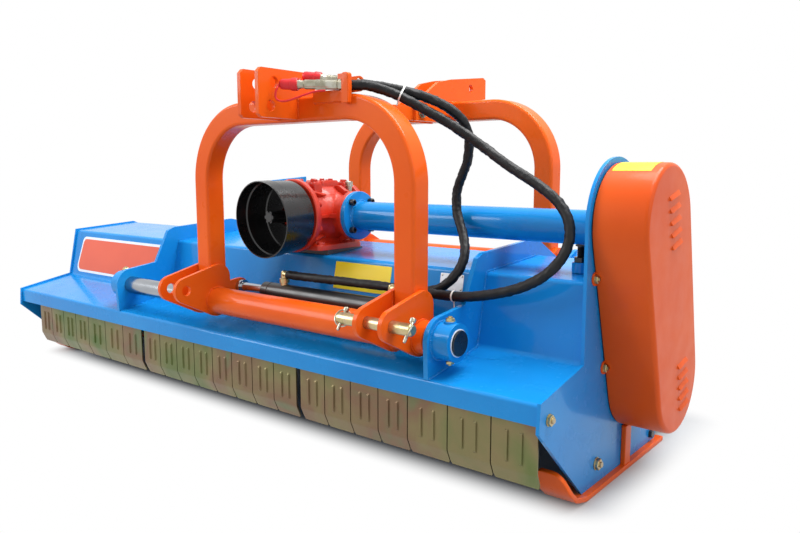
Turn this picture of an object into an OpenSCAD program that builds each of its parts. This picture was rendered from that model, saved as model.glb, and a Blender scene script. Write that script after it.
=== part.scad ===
// Side-shift flail mower with a front and a rear hitch arch, a gearbox on the hood,
// a side belt drive, a hammer rotor, a rear roller and a row of hanging front flaps.
// X runs along the rotor towards the belt drive, Y runs rearwards and Z is up from the ground.

/* [Hood] */
// Width of the hood between the side plates
hood_w = 2200; // [1900:10:2500]
// Thickness of the hood sheet
hood_t = 5; // [3:0.5:7]
// Height of the front lip's lower edge above the ground
lip_z = 217; // [200:1:230]
// Height of the front lip
lip_h = 45; // [40:1:55]
// Depth of the sloping front deck
deck_run = 195; // [180:1:220]
// Rise of the front deck over its depth
deck_rise = 38; // [25:1:45]
// Depth of the steep front face
face_run = 35; // [20:1:50]
// Space between the hammer circle and the hood's top sheet
hood_gap = 34; // [25:1:50]
// Depth of the nearly flat top
top_run = 250; // [220:1:270]
// Rise of the top towards its ridge
top_rise = 18; // [10:1:25]
// Drop of the rear slope
slope_drop = 67; // [50:1:80]
// Drop of the tail wall
tail_drop = 95; // [85:1:105]
// Depth of the tail wall over its drop
tail_run = 15; // [10:1:20]
// Space between the hammer circle and the tail wall
tail_gap = 19; // [15:1:30]

/* [Side plates and skids] */
// Thickness of a side plate
plate_t = 8; // [6:0.5:10]
// How far a side plate stands above the hood sheet
plate_lift = 5; // [3:0.5:8]
// How far a side plate reaches in front of the lip
plate_nose = 9; // [6:0.5:14]
// How far a side plate reaches behind the tail wall
plate_tail = 25; // [22:1:35]
// Width of the plate edge that shows around the belt cover
tongue_edge = 13; // [8:0.5:16]
// Thickness of a skid bar
skid_t = 12; // [10:0.5:15]
// Width of a skid bar
skid_w = 75; // [60:1:80]
// How far a skid stands outside its side plate
skid_out = 15; // [12:0.5:20]
// Y of the skid's curled tip
skid_tip_y = 92; // [85:1:100]
// Height of the skid's curled tip
skid_tip_z = 85; // [75:1:95]
// Y where the skid's flat sole starts
sole_y = 190; // [180:1:205]

/* [Rotor and roller] */
// Radius of the hammer circle
swing_r = 203; // [190:1:215]
// Space between the hammer circle and the ground
ground_gap = 34; // [28:1:45]
// Radius of the rotor tube
drum_r = 70; // [60:1:78]
// Wall of the rotor tube
drum_wall = 10; // [8:0.5:14]
// Radius of the rotor's stub shafts
stub_r = 25; // [20:0.5:30]
// Number of hammers
hammer_count = 22; // [16:2:26]
// Width of a hammer's striking edge
hammer_w = 62; // [50:1:70]
// Radius of the pin that a hammer swings on
hammer_pin_r = 10; // [8:0.5:12]
// Radius of the rear roller
roller_r = 75; // [70:1:85]
// Wall of the rear roller
roller_wall = 6; // [5:0.5:10]
// Distance from the tail wall to the roller's axis
roller_back = 90; // [88:1:105]
// Radius of the roller's stub shafts
roller_stub_r = 17; // [14:0.5:20]

/* [Drive] */
// X of the input shaft
pto_x = 210; // [190:1:220]
// Height of the drive axis above the hood's face edge
drive_lift = 111; // [108:1:122]
// Distance from the hood's face edge back to the drive axis
drive_back = 90; // [80:1:100]
// Distance from the drive axis to the gearbox's front flange
case_front = 135; // [125:1:145]
// Distance from the drive axis to the gearbox's rear flange
case_back = 85; // [80:1:95]
// Radius of the gearbox's round input flanges
case_r = 104; // [100:1:110]
// Distance from the input shaft to the output flange
neck_len = 125; // [115:1:135]
// Radius of the splined shaft stubs
spline_r = 17.4; // [16:0.1:20]
// Outer radius of the drive tube
tube_r = 40; // [36:0.5:43]
// Wall of the drive tube
tube_wall = 5; // [4:0.5:7]
// Radius of the drive tube's flange
flange_r = 69; // [64:0.5:74]
// Radius of the flange's screw circle
screw_circle_r = 55; // [51:0.5:57]
// Radius of the input shaft's journal in the gearbox
journal_r = 22; // [19:0.5:26]
// Outer radius of the front shaft shield
shield_r = 106; // [105:1:112]
// Length of the front shaft shield
shield_len = 107; // [95:1:115]
// How far the front shaft shield's mouth droops, in degrees
shield_droop = 3; // [0:0.5:5]
// Outer radius of the short collar around the rear shaft stub
rear_shield_r = 45; // [40:1:60]
// Length of the rear collar
rear_shield_len = 48; // [40:1:60]
// Length of a splined shaft stub outside the gearbox
stub_len = 85; // [75:1:90]
// Wall of a shaft shield
shield_wall = 3; // [2:0.5:5]
// Radius of the drive shaft
shaft_r = 17.5; // [15:0.5:20]
// Radius of the upper pulley
pulley_top_r = 108; // [100:1:115]
// Radius of the lower pulley
pulley_low_r = 60; // [55:1:70]
// Width of a pulley
pulley_w = 58; // [56:1:64]
// Number of drive belts
belt_count = 3; // [2:1:3]
// Width of a belt
belt_w = 13; // [11:0.5:14]
// Thickness of a belt
belt_t = 9; // [7:0.5:10]
// Radius of the belt cover around the upper pulley
cover_top_r = 134; // [130:1:140]
// How far the cover's upper round sits behind the drive axis
cover_back = 10; // [0:1:12]
// How far the cover's upper round sits above the drive axis
cover_up = 12; // [0:1:14]
// Radius of the belt cover around the lower pulley
cover_low_r = 125; // [118:1:130]
// Depth of the belt cover outside its side plate
cover_d = 120; // [112:1:130]
// Radius of the belt cover's outer edge
cover_edge_r = 25; // [15:1:30]
// Wall of the belt cover
cover_wall = 3; // [2:0.5:5]
// Length of a bearing housing
bearing_len = 30; // [26:1:32]

/* [Slide] */
// Distance that the carriage shifts sideways
travel = 350; // [300:5:400]
// Radius of a slide bar
bar_r = 27.5; // [24:0.5:30]
// Y of the front slide bar
bar_y = 50; // [46:1:58]
// Height of the front slide bar above the lip's top edge
bar_lift = 80; // [76:1:90]
// Distance from the tail wall back to the rear slide bar
rear_bar_back = 70; // [66:1:80]
// Height of the rear slide bar above the front one
rear_bar_lift = 90; // [80:1:100]
// Thickness of a support rib
rib_t = 12; // [10:0.5:15]
// Radius of a rib's round noses
rib_nose_r = 54; // [48:1:58]
// Outer radius of a bar boss
boss_r = 43; // [38:1:46]
// Length of a bar boss
boss_len = 45; // [38:1:55]
// Space left at each end of the travel
stop_gap = 15; // [8:1:25]

/* [Carriage] */
// X of the hitch's middle with the carriage at its right stop
hitch_x = 366; // [355:1:375]
// Outer width of a hitch arch
arch_w = 798; // [770:1:820]
// Side of the square arch tube
arch_s = 60; // [54:1:64]
// Wall of the arch tube
arch_wall = 5; // [4:0.5:8]
// Bend radius at the middle of the arch tube
arch_bend = 180; // [150:5:200]
// Height of the front arch above its slide bar
front_arch_h = 550; // [520:5:580]
// Height of the rear arch above its slide bar
rear_arch_h = 493; // [470:1:520]
// Outer radius of a slide tube
sleeve_r = 38; // [36:0.5:41]
// How far a slide tube passes its right lug
sleeve_past = 29; // [20:1:35]
// Thickness of a hitch plate
lug_t = 12; // [10:0.5:15]
// Radius of the lower link bores
link_bore_r = 14; // [11:0.1:14.5]
// Distance from the front slide bar out to the lower link bores
link_out = 104; // [98:1:104]
// Height of the front lower link bores above the bar
link_up = 40; // [34:1:46]
// Distance from the rear slide bar out to the lower link bores
rear_link_out = 99; // [92:1:108]
// Drop of the rear lower link bores below the bar
rear_link_down = 36; // [28:1:42]
// Radius of a lower lug's nose
lug_nose_r = 36; // [30:1:36]
// Radius of a lower lug around its slide tube
lug_bar_r = 46; // [44:1:50]
// Radius of a lower lug's upper round
lug_crown_r = 38; // [34:1:42]
// Height of the front lower lugs above the bar
lug_top = 104; // [96:1:112]
// Radius of the top link bores
top_bore_r = 13; // [9.5:0.1:13]
// Inside gap between the two top link plates
mast_gap = 52; // [48:1:60]
// Height of the front top link plates
mast_h = 115; // [110:1:125]
// How far the top link plates reach in front of the arch
mast_reach = 125; // [115:1:135]
// How far the top link plates hang below the arch's top
mast_drop = 54; // [48:1:60]
// How far the rear mast plates reach behind the rear arch
rear_mast_reach = 150; // [135:1:165]
// Distance from the rear arch forward to the strut bolt
strut_reach = 140; // [130:1:155]
// Drop of the strut bolt below the rear arch's top
strut_drop = 39; // [35:1:45]

/* [Shift cylinder and hoses] */
// Radius of the cylinder barrel
barrel_r = 25; // [22:0.5:28]
// Radius of the cylinder rod
ram_r = 14; // [11:0.5:16]
// Wall of the cylinder barrel
barrel_wall = 5; // [4:0.5:6]
// Y of the cylinder axis
ram_y = 135; // [132:1:140]
// Height of the cylinder axis above the front slide bar
ram_up = 30; // [26:1:36]
// Diameter of a sleeved hose
hose_d = 22; // [18:0.5:24]

/* [Flaps] */
// Radius of the flap rod
flap_rod_r = 6; // [5:0.1:7]
// Thickness of a flap
flap_t = 4; // [3:0.1:5]
// Length of a flap below its rod
flap_len = 152; // [140:1:165]
// Length of the flap's tip that is bent back
flap_tip = 34; // [25:1:45]
// How far the tip is bent back
flap_kick = 15; // [8:1:20]
// Y of the flap rod behind the lip's face
flap_rod_y = 30; // [26:1:34]
// Height of the flap rod above the lip's lower edge
flap_rod_up = 9; // [6:1:14]
// Space at the left end of the flap row
flap_left = 96; // [60:1:140]
// Space between two flap groups, where a rod hanger sits
group_gap = 14; // [12:1:20]
// Space between neighbouring flaps
flap_gap = 2; // [1:0.5:4]
// Width of a wide flap, in widths of a narrow one
wide_ratio = 1.26; // [1:0.02:1.4]

/* [Hidden] */
$fn = 48;
// Radial space of a running fit
run_fit = 0.05;
// Radial space of a loose hinge eye
eye_fit = 0.1;
// Space between parts that are bolted up but not machined to each other
seat = 0.3;
// Overlap that a cut needs to pass a face
cut = 1;
// How far a tangent line dips into its circle, so that the two join as one outline
kiss = 0.02;
// Space between a shaft and the plate hole that it passes
hole_room = 10;

// Rotor axis and hood corners, each as [Y, Z]
rotor_y = deck_run + face_run + swing_r;
rotor_z = swing_r + ground_gap;
lip_top = lip_z + lip_h;
deck_z = lip_top + deck_rise;
face_y = deck_run + face_run;
face_z = rotor_z + swing_r + hood_gap;
ridge_y = face_y + top_run;
ridge_z = face_z + top_rise;
tail_y = rotor_y + swing_r + tail_gap;
slope_z = ridge_z - slope_drop;
tail_z = slope_z - tail_drop;
hood_line = [
    [0, lip_z],
    [0, lip_top],
    [deck_run, deck_z],
    [face_y, face_z],
    [ridge_y, ridge_z],
    [tail_y - tail_run, slope_z],
    [tail_y, tail_z]
];

// Drive line
drive_y = face_y + drive_back;
drive_z = face_z + drive_lift;
neck_x = pto_x + neck_len;
case_y0 = drive_y - case_front;
case_y1 = drive_y + case_back;
case_len = case_front + case_back;
cover_centre = [drive_y + cover_back, drive_z + cover_up];
flange_t = 16;
foot_h = 20;
foot_z = drive_z - case_r + 8;
right_x = hood_w / 2;
plate_x = right_x + plate_t;
pulley_x = plate_x + bearing_len + 6;
crown_r = 72;
pinion_r = crown_r / 2;
tooth_share = 0.65;
mesh_gap = 0.4;
belt_pitch = pulley_w / belt_count - 1;
groove_fit = 0.5;

// Slide and carriage
bar_z = lip_top + bar_lift;
rear_bar_y = tail_y + rear_bar_back;
rear_bar_z = bar_z + rear_bar_lift;
arch_shift = arch_s / 4;
leg_x0 = hitch_x - arch_w / 2;
leg_x1 = hitch_x + arch_w / 2;
carriage_x0 = leg_x0 - lug_t;
carriage_x1 = leg_x1 + lug_t + sleeve_past;
rib_left_x = carriage_x0 - travel - stop_gap - rib_t;
rib_right_x = carriage_x1 + stop_gap;
cap_depth = 5;
cap_t = 4;
pad_h = 3;
arch_y = bar_y + arch_shift;
rear_arch_y = rear_bar_y - arch_shift;
arch_z = bar_z + front_arch_h;
rear_arch_z = rear_bar_z + rear_arch_h;
mast_x = [hitch_x - mast_gap / 2 - lug_t, hitch_x + mast_gap / 2];
link_y = bar_y - link_out;
link_z = bar_z + link_up;
lug_xs = [leg_x0 - lug_t, leg_x0 + arch_s, leg_x1 - arch_s - lug_t, leg_x1];
mast_front_y = arch_y - arch_s / 2 - mast_reach;
mast_rear_y = rear_arch_y + arch_s / 2 + rear_mast_reach;
mast_low_z = arch_z - mast_drop;
top_holes = [[mast_front_y + 38, mast_low_z + 28], [mast_front_y + 50, mast_low_z + 83]];
rear_top_hole = [mast_rear_y - 90, rear_arch_z + 50];
strut_bolt = [rear_arch_y - arch_s / 2 - strut_reach, rear_arch_z - strut_drop];
strut_bolt_r = 10;

// Shift cylinder, set between the inner left lug and the right rib
ram_z = bar_z + ram_up;
ear_x = lug_xs[1] + lug_t;
barrel_len = travel + 140;
ram_tail_w = 50;
ram_room = rib_right_x - ear_x - barrel_len - ram_tail_w;
barrel_x = ear_x + 0.46 * ram_room;
ram_end = barrel_x + barrel_len - 40;
port_h = 28;
port_x = [barrel_x + 80, barrel_x + barrel_len - 20];

// Couplers: where each one passes its holder, and the tip of its dust cap
coupler_x = hitch_x + 203;
coupler_holes = [[coupler_x, arch_y - 23, arch_z + 18], [coupler_x, arch_y + 11, arch_z + 24]];
coupler_tips = [
    [mast_x[1] + lug_t + 19, arch_y - 105, arch_z + 23],
    [mast_x[1] + lug_t + 46, arch_y - 55, arch_z + 44]
];
coupler_tail = 30;
coupler_r = 13;

// Flap row
flap_count = 22;
flap_rod_z = lip_z + flap_rod_up;
flap_right = 7;
wide_flaps = [4, 5, 6, 19, 20, 21];
gap_before = [7, 15];
function is_wide(i) = len(search(i, wide_flaps)) > 0;
function flap_units(n) = n <= 0 ? 0 : flap_units(n - 1) + (is_wide(n - 1) ? wide_ratio : 1);
function gaps_passed(i) = len([for (g = gap_before) if (i >= g) g]);
row_w = hood_w - flap_left - flap_right - len(gap_before) * group_gap;
narrow_w = row_w / flap_units(flap_count);
function flap_x(i) = -right_x + flap_left + flap_units(i) * narrow_w + gaps_passed(i) * group_gap;
function flap_w(i) = (is_wide(i) ? wide_ratio : 1) * narrow_w - flap_gap;
function flap_name(i) = str("flap_", i < 9 ? "0" : "", i + 1);

// Rear door
door_rod = [tail_y, tail_z - 16];
door_len = 165;
door_w = hood_w - 30;

// Rear roller
roller_y = tail_y + roller_back;
arm_t = 10;
arm_root = [tail_y - 60, 115];

// Sleeved hoses: points along each route, from the coupler to the cylinder
hose_long_route = [
    [595.6, 56.9, 909.1], [601.7, 60.3, 908.9], [623, 76, 903], [647, 96, 893], [671, 116, 880], [693, 135, 865],
    [716, 154, 849], [740, 171, 833], [764, 187, 815], [789, 199, 797], [815, 207, 778],
    [843, 210, 760], [891, 207, 730], [931, 205, 708], [970, 203, 687],
    [1005, 202, 665], [1034, 200, 641], [1054, 196, 613], [1063, 191, 583], [1061, 184, 552],
    [1048, 176, 522], [1026, 168, 496], [996, 160, 474], [958, 152, 456], [915, 144, 443],
    [870, 138, 433], [826, 135, 427], [780, 135, 425], [730, 135, 425], [682, 135, 425],
    [635.5, 135, 425]
];
hose_short_route = [
    [595.4, 90.6, 911.6], [625, 108, 906], [654, 125, 899], [683, 144, 891], [710, 163, 880],
    [735, 183, 866], [755, 204, 848], [768, 225, 824], [771, 240, 793], [766, 249, 760],
    [757, 255, 732], [743, 260, 706], [729, 264, 682], [721, 266, 657], [720, 266, 631],
    [726, 262, 606], [740, 254, 583], [756, 243, 560], [771, 229, 538], [781, 214, 516],
    [784, 200, 494], [778, 187, 472], [761, 176, 449], [733, 169, 430], [696, 165, 423],
    [660, 164, 423], [625, 163, 423], [580, 158, 423], [530, 153, 424], [480, 148, 424],
    [430, 143, 425], [380, 139, 425], [335, 136, 425], [290, 135, 425], [245.5, 135, 425]
];
hose_sides = 8;

// Outer box of the machine, which sets its reference point
x_low = -(plate_x + bearing_len);
x_high = plate_x + cover_d;
datum = [-(x_low + x_high) / 2, -(mast_front_y + mast_rear_y) / 2, 0];

blue = "#2f8fe0";
orange = "#e8591c";
red = "#d8401c";
black = "#1b1c1e";
steel = "#c9ccd0";
zinc = "#c9b56a";
iron = "#5a5c60";

// Offsets an open line to its right by t, with mitred corners
function unit(v) = v / norm(v);
function right_of(a, b) = let (d = unit(b - a)) [d[1], -d[0]];
function mitre(a, b, c, t) =
    let (n = right_of(a, b), m = right_of(b, c))
    b + (n + m) * t / (1 + n * m);
function side_line(p, t) = [
    for (i = [0 : len(p) - 1])
        i == 0 ? p[0] + t * right_of(p[0], p[1])
        : i == len(p) - 1 ? p[i] + t * right_of(p[i - 1], p[i])
        : mitre(p[i - 1], p[i], p[i + 1], t)
];
function reversed(p) = [for (i = [len(p) - 1 : -1 : 0]) p[i]];
function strip(p, t) = concat(p, reversed(side_line(p, t)));
// Height of the hood's top sheet at a given Y
function top_z(y) = face_z + (y - face_y) * top_rise / top_run;
// Height of the front deck at a given Y
function deck_top(y) = lip_top + y * deck_rise / deck_run;

// Extrudes a YZ outline along X
module along_x(x0, length) {
    translate([x0, 0, 0])
        rotate([90, 0, 90])
            linear_extrude(length)
                children();
}

module rod_x(x0, length, y, z, r) {
    translate([x0, y, z])
        rotate([0, 90, 0])
            cylinder(h = length, r = r);
}

module rod_y(x, y0, length, z, r) {
    translate([x, y0, z])
        rotate([-90, 0, 0])
            cylinder(h = length, r = r);
}

module hex_head_x(x0, y, z, af, h) {
    translate([x0, y, z])
        rotate([0, 90, 0])
            cylinder(h = h, d = af / cos(30), $fn = 6);
}

// The strip between the outer tangents of two circles
module tangent_strip(c1, r1, c2, r2) {
    d = c2 - c1;
    a = atan2(d[1], d[0]);
    b = acos((r1 - r2) / norm(d));
    up = [cos(a + b), sin(a + b)];
    down = [cos(a - b), sin(a - b)];
    polygon([
        c1 + (r1 - kiss) * up,
        c2 + (r2 - kiss) * up,
        c2 + (r2 - kiss) * down,
        c1 + (r1 - kiss) * down
    ]);
}

// Outline of a belt around two wheels: two circles and their outer tangents
module tangent_outline(c1, r1, c2, r2) {
    translate(c1)
        circle(r1);
    translate(c2)
        circle(r2);
    tangent_strip(c1, r1, c2, r2);
}

module belt_outline(r_top, r_low) {
    tangent_outline([drive_y, drive_z], r_top, [rotor_y, rotor_z], r_low);
}

module cover_outline(r_top, r_low) {
    tangent_outline(cover_centre, r_top, [rotor_y, rotor_z], r_low);
}

// Everything under the hood's outer surface
module hood_fill() {
    polygon(concat(hood_line, [[tail_y, 0], [0, 0]]));
}

module hood_shell() {
    color(blue) {
        along_x(-right_x, hood_w)
            polygon(strip(hood_line, hood_t));
        rod_hangers();
    }
}

// Hangers that carry the flap rod in the gaps between the flap groups
module rod_hangers() {
    hanger_t = group_gap - 8;
    for (g = gap_before)
        along_x(flap_x(g) - flap_gap / 2 - group_gap / 2 - hanger_t / 2, hanger_t)
            difference() {
                polygon([
                    [hood_t, lip_top - 25],
                    [flap_rod_y - 14, flap_rod_z - 10],
                    [flap_rod_y + 14, flap_rod_z - 10],
                    [flap_rod_y + 24, deck_top(flap_rod_y + 24) - hood_t],
                    [hood_t, deck_top(hood_t) - hood_t]
                ]);
                translate([flap_rod_y, flap_rod_z])
                    circle(flap_rod_r + eye_fit);
            }
}

module plate_outline() {
    toe_y = sole_y + 4;
    polygon([
        [-plate_nose, lip_z - 12],
        [-plate_nose / 2, lip_top + plate_lift],
        [deck_run - plate_lift, deck_z + plate_lift],
        [face_y - plate_lift, face_z + plate_lift],
        [ridge_y, ridge_z + plate_lift],
        [tail_y - tail_run + plate_lift, slope_z + plate_lift],
        [tail_y + plate_tail, tail_z],
        [tail_y + plate_tail, 2 * roller_r],
        [tail_y - 20, skid_t],
        [toe_y, skid_t]
    ]);
}

module plate_holes() {
    translate([flap_rod_y, flap_rod_z])
        circle(flap_rod_r + eye_fit);
    translate(door_rod)
        circle(flap_rod_r + eye_fit);
    translate([rotor_y, rotor_z])
        circle(stub_r + hole_room);
}

module left_side_plate() {
    color(blue)
        along_x(-plate_x, plate_t)
            difference() {
                plate_outline();
                plate_holes();
            }
}

module right_side_plate() {
    tongue_r = cover_top_r + tongue_edge;
    web_y = cover_centre[0] - tongue_r + cut;
    web_z = deck_top(web_y);
    color(blue)
        difference() {
            union() {
                along_x(right_x, plate_t)
                    plate_outline();
                along_x(right_x, plate_t)
                    cover_outline(tongue_r, cover_low_r + tongue_edge);
                along_x(right_x, plate_t)
                    translate([web_y, web_z])
                        square(cover_centre - [web_y, web_z]);
            }
            along_x(right_x - cut, plate_t + 2 * cut) {
                plate_holes();
                translate([drive_y, drive_z])
                    circle(shaft_r + hole_room);
            }
        }
}

// One rib with a round nose around each slide bar
module rib_outline() {
    neck_y = deck_run - 54;
    neck_z = bar_z + 66;
    rear_neck = [tail_y - 25, slope_z + 32];
    difference() {
        union() {
            polygon([
                [0, lip_top],
                [bar_y - rib_nose_r, bar_z],
                [bar_y, bar_z + rib_nose_r],
                [neck_y, neck_z],
                [deck_run - 4, face_z + 36],
                [deck_run + 21, face_z + 47],
                [ridge_y - 20, ridge_z + 45],
                [ridge_y + 10, ridge_z + 38],
                rear_neck,
                [rear_bar_y, rear_bar_z + rib_nose_r],
                [rear_bar_y + rib_nose_r * 0.5, rear_bar_z - rib_nose_r * 0.8],
                [tail_y + 4, tail_z + 10],
                [face_y, lip_top]
            ]);
            translate([bar_y, bar_z])
                circle(rib_nose_r);
            translate([rear_bar_y, rear_bar_z])
                circle(rib_nose_r);
        }
        hood_fill();
    }
}

// A boss with a flat pad on top for its clamp bolt
module bar_boss(x0, y, z) {
    rod_x(x0, boss_len, y, z, boss_r);
    translate([x0 + boss_len / 2, y, z])
        cylinder(h = boss_r + pad_h, r = 14);
}

module support_ribs() {
    bars = [[bar_y, bar_z], [rear_bar_y, rear_bar_z]];
    color(blue)
        for (side = [0, 1]) {
            rib_x = side == 0 ? rib_left_x : rib_right_x;
            boss_x = side == 0 ? rib_left_x - boss_len : rib_right_x + rib_t;
            difference() {
                union() {
                    along_x(rib_x, rib_t)
                        rib_outline();
                    for (b = bars)
                        bar_boss(boss_x, b[0], b[1]);
                }
                for (b = bars)
                    rod_x(rib_left_x - boss_len - cut, rib_right_x - rib_left_x + 2 * boss_len + rib_t + 2 * cut,
                        b[0], b[1], bar_r + run_fit);
            }
        }
}

// The two bright bars and the black caps that close their bosses
module slide_bars() {
    x0 = rib_left_x - boss_len + cap_depth;
    x1 = rib_right_x + rib_t + boss_len - cap_depth;
    for (b = [[bar_y, bar_z], [rear_bar_y, rear_bar_z]]) {
        color(steel)
            rod_x(x0, x1 - x0, b[0], b[1], bar_r);
        color(black)
            for (x = [x0 - cap_depth - cap_t, x1 + cap_depth])
                rod_x(x, cap_t, b[0], b[1], bar_r + 3);
    }
}

module cover_disc(c, r, d) {
    translate([plate_x, c[0], c[1]])
        rotate([0, 90, 0])
            rotate_extrude($fn = 40)
                union() {
                    square([r - cover_edge_r, d]);
                    square([r, d - cover_edge_r]);
                    translate([r - cover_edge_r, d - cover_edge_r])
                        circle(cover_edge_r, $fn = 24);
                }
}

module belt_cover() {
    color(orange)
        difference() {
            hull() {
                cover_disc(cover_centre, cover_top_r, cover_d);
                cover_disc([rotor_y, rotor_z], cover_low_r, cover_d);
            }
            along_x(plate_x - cut, cover_d - cover_wall + cut)
                cover_outline(cover_top_r - cover_edge_r, cover_low_r - cover_edge_r);
            along_x(plate_x - cut, cover_d - cover_edge_r + cut)
                cover_outline(cover_top_r - cover_wall, cover_low_r - cover_wall);
        }
}

// Skid bars with a curled nose and an upright strap outside the plate
module skids() {
    strap_y = rotor_y - 28;
    strap_w = 34;
    sole_end = tail_y + 5;
    path = [
        [sole_end, 0],
        [sole_y, 0],
        [sole_y - 50, 14],
        [skid_tip_y + 14, skid_tip_z - 42],
        [skid_tip_y, skid_tip_z]
    ];
    color(orange)
        for (side = [0, 1])
            mirror([1 - side, 0, 0]) {
                along_x(plate_x + skid_out - skid_w, skid_w)
                    polygon(strip(path, skid_t));
                along_x(plate_x, skid_t)
                    translate([strap_y, skid_t])
                        square([strap_w, rotor_z - cover_low_r - skid_t - 2]);
            }
}

module gearbox_case() {
    neck_r = flange_r - 9;
    body_r = case_r - 14;
    rear_flange_r = case_r - 10;
    flange_d = 20;
    color(red)
        difference() {
            union() {
                rod_y(pto_x, case_y0, flange_d, drive_z, case_r);
                rod_y(pto_x, case_y0, case_len, drive_z, body_r);
                rod_y(pto_x, case_y1 - flange_d, flange_d, drive_z, rear_flange_r);
                rod_x(pto_x, neck_len, drive_y, drive_z, neck_r);
                rod_x(neck_x - flange_t, flange_t, drive_y, drive_z, flange_r);
                translate([pto_x - body_r, case_y0 + flange_d, foot_z])
                    cube([2 * body_r, case_len - 2 * flange_d, foot_h]);
                translate([pto_x - body_r / 2, case_y0 + flange_d, foot_z])
                    cube([body_r, case_len - 2 * flange_d, drive_z - foot_z]);
                translate([pto_x, drive_y, drive_z])
                    cylinder(h = body_r + 10, r = 34);
            }
            rod_y(pto_x, case_y0 + flange_d, case_len - 2 * flange_d, drive_z, crown_r + 8);
            rod_x(pto_x, neck_len - flange_t - 4, drive_y, drive_z, pinion_r + 8);
            rod_x(pto_x, neck_len + cut, drive_y, drive_z, shaft_r + run_fit);
            rod_y(pto_x, case_y0 - cut, case_len + 2 * cut, drive_z, journal_r + run_fit);
        }
}

// Base plate between the hood top and the gearbox, and the upright plate beside the gearbox
module gearbox_saddle() {
    half = case_r - 14;
    stay_t = 8;
    stay_x = pto_x - case_r - stay_t - 10;
    y0 = face_y + 8;
    y1 = case_y1 - 20;
    color(iron)
        along_x(pto_x - half, 2 * half)
            polygon([[y0, top_z(y0)], [y1, top_z(y1)], [y1, foot_z], [y0, foot_z]]);
    color(blue)
        along_x(stay_x, stay_t)
            polygon([
                [y0, top_z(y0)],
                [drive_y + 35, top_z(drive_y + 35)],
                [drive_y + 35, drive_z + case_r + 5],
                [case_y0 - 25, drive_z + case_r - 9],
                [case_y0 - 25, drive_z]
            ]);
}

module drive_tube() {
    color(blue)
        difference() {
            union() {
                rod_x(neck_x, right_x - neck_x, drive_y, drive_z, tube_r);
                rod_x(neck_x, flange_t, drive_y, drive_z, flange_r);
            }
            rod_x(neck_x - cut, right_x - neck_x + 2 * cut, drive_y, drive_z, tube_r - tube_wall);
        }
}

module flange_screws() {
    head_h = 14;
    color(black)
        for (a = [45 : 90 : 315])
            rod_x(neck_x + flange_t, head_h, drive_y + screw_circle_r * cos(a),
                drive_z + screw_circle_r * sin(a), 9);
}

// An open cup whose floor has a hole for the shaft, drawn along +Z
module shaft_shield(length, r) {
    difference() {
        cylinder(h = length, r = r);
        translate([0, 0, shield_wall])
            cylinder(h = length, r = r - shield_wall);
        translate([0, 0, -cut])
            cylinder(h = shield_wall + 2 * cut, r = journal_r + hole_room);
    }
}

// The front shield droops a little on the collar that holds it
module shaft_shields() {
    collar_r = journal_r + hole_room + 2 * shield_wall;
    sag = shield_r * sin(shield_droop) + seat;
    color(black) {
        difference() {
            union() {
                translate([pto_x, case_y0 - sag, drive_z])
                    rotate([90 + shield_droop, 0, 0])
                        shaft_shield(shield_len, shield_r);
                rod_y(pto_x, case_y0 - 2 * sag, 2 * sag, drive_z, collar_r);
            }
            rod_y(pto_x, case_y0 - 2 * sag - cut, 2 * sag + 2 * cut, drive_z, collar_r - shield_wall);
        }
        translate([pto_x, case_y1, drive_z])
            rotate([-90, 0, 0])
                shaft_shield(rear_shield_len, rear_shield_r);
    }
}

// Splined stubs at both ends, a thicker journal inside the case and the crown wheel on it
module input_shaft() {
    crown_y = drive_y + pinion_r + mesh_gap;
    hub_w = 20;
    color(steel) {
        rod_y(pto_x, case_y0 - stub_len, case_len + 2 * stub_len, drive_z, spline_r);
        rod_y(pto_x, case_y0, case_len, drive_z, journal_r);
        translate([pto_x, crown_y, drive_z])
            rotate([90, 0, 0])
                cylinder(h = pinion_r * (1 - tooth_share), r1 = crown_r - mesh_gap,
                    r2 = crown_r * tooth_share - mesh_gap);
        rod_y(pto_x, crown_y, hub_w, drive_z, crown_r - hub_w / 2);
    }
}

module drive_shaft() {
    x0 = pto_x + crown_r * tooth_share;
    color(steel) {
        rod_x(x0, pulley_x + pulley_w + 10 - x0, drive_y, drive_z, shaft_r);
        translate([x0, drive_y, drive_z])
            rotate([0, 90, 0])
                cylinder(h = crown_r * (1 - tooth_share), r1 = pinion_r * tooth_share, r2 = pinion_r);
    }
}

// A pulley with one groove for each belt
module pulley(y, z, r, bore_r) {
    groove_w = belt_w + 2 * groove_fit;
    difference() {
        rod_x(pulley_x, pulley_w, y, z, r);
        for (i = [0 : belt_count - 1])
            difference() {
                rod_x(pulley_x + belt_x(i) - groove_fit, groove_w, y, z, r + cut);
                rod_x(pulley_x + belt_x(i) - groove_fit - cut, groove_w + 2 * cut, y, z, r - belt_t - groove_fit);
            }
        rod_x(pulley_x - cut, pulley_w + 2 * cut, y, z, bore_r);
    }
}
function belt_x(i) = (pulley_w - (belt_count - 1) * belt_pitch - belt_w) / 2 + i * belt_pitch;

module upper_pulley() {
    color(iron)
        pulley(drive_y, drive_z, pulley_top_r, shaft_r + run_fit);
}

module lower_pulley() {
    color(iron)
        pulley(rotor_y, rotor_z, pulley_low_r, stub_r + run_fit);
}

module drive_belts() {
    color(black)
        for (i = [0 : belt_count - 1])
            along_x(pulley_x + belt_x(i), belt_w)
                difference() {
                    belt_outline(pulley_top_r, pulley_low_r);
                    belt_outline(pulley_top_r - belt_t, pulley_low_r - belt_t);
                }
}

// Flanged housings for the rotor at both ends and for the drive shaft at the belt end
module bearing_housings() {
    color(iron) {
        housing(plate_x, rotor_y, rotor_z, stub_r, 1);
        housing(-plate_x, rotor_y, rotor_z, stub_r, -1);
        housing(plate_x, drive_y, drive_z, shaft_r, 1);
    }
}

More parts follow.
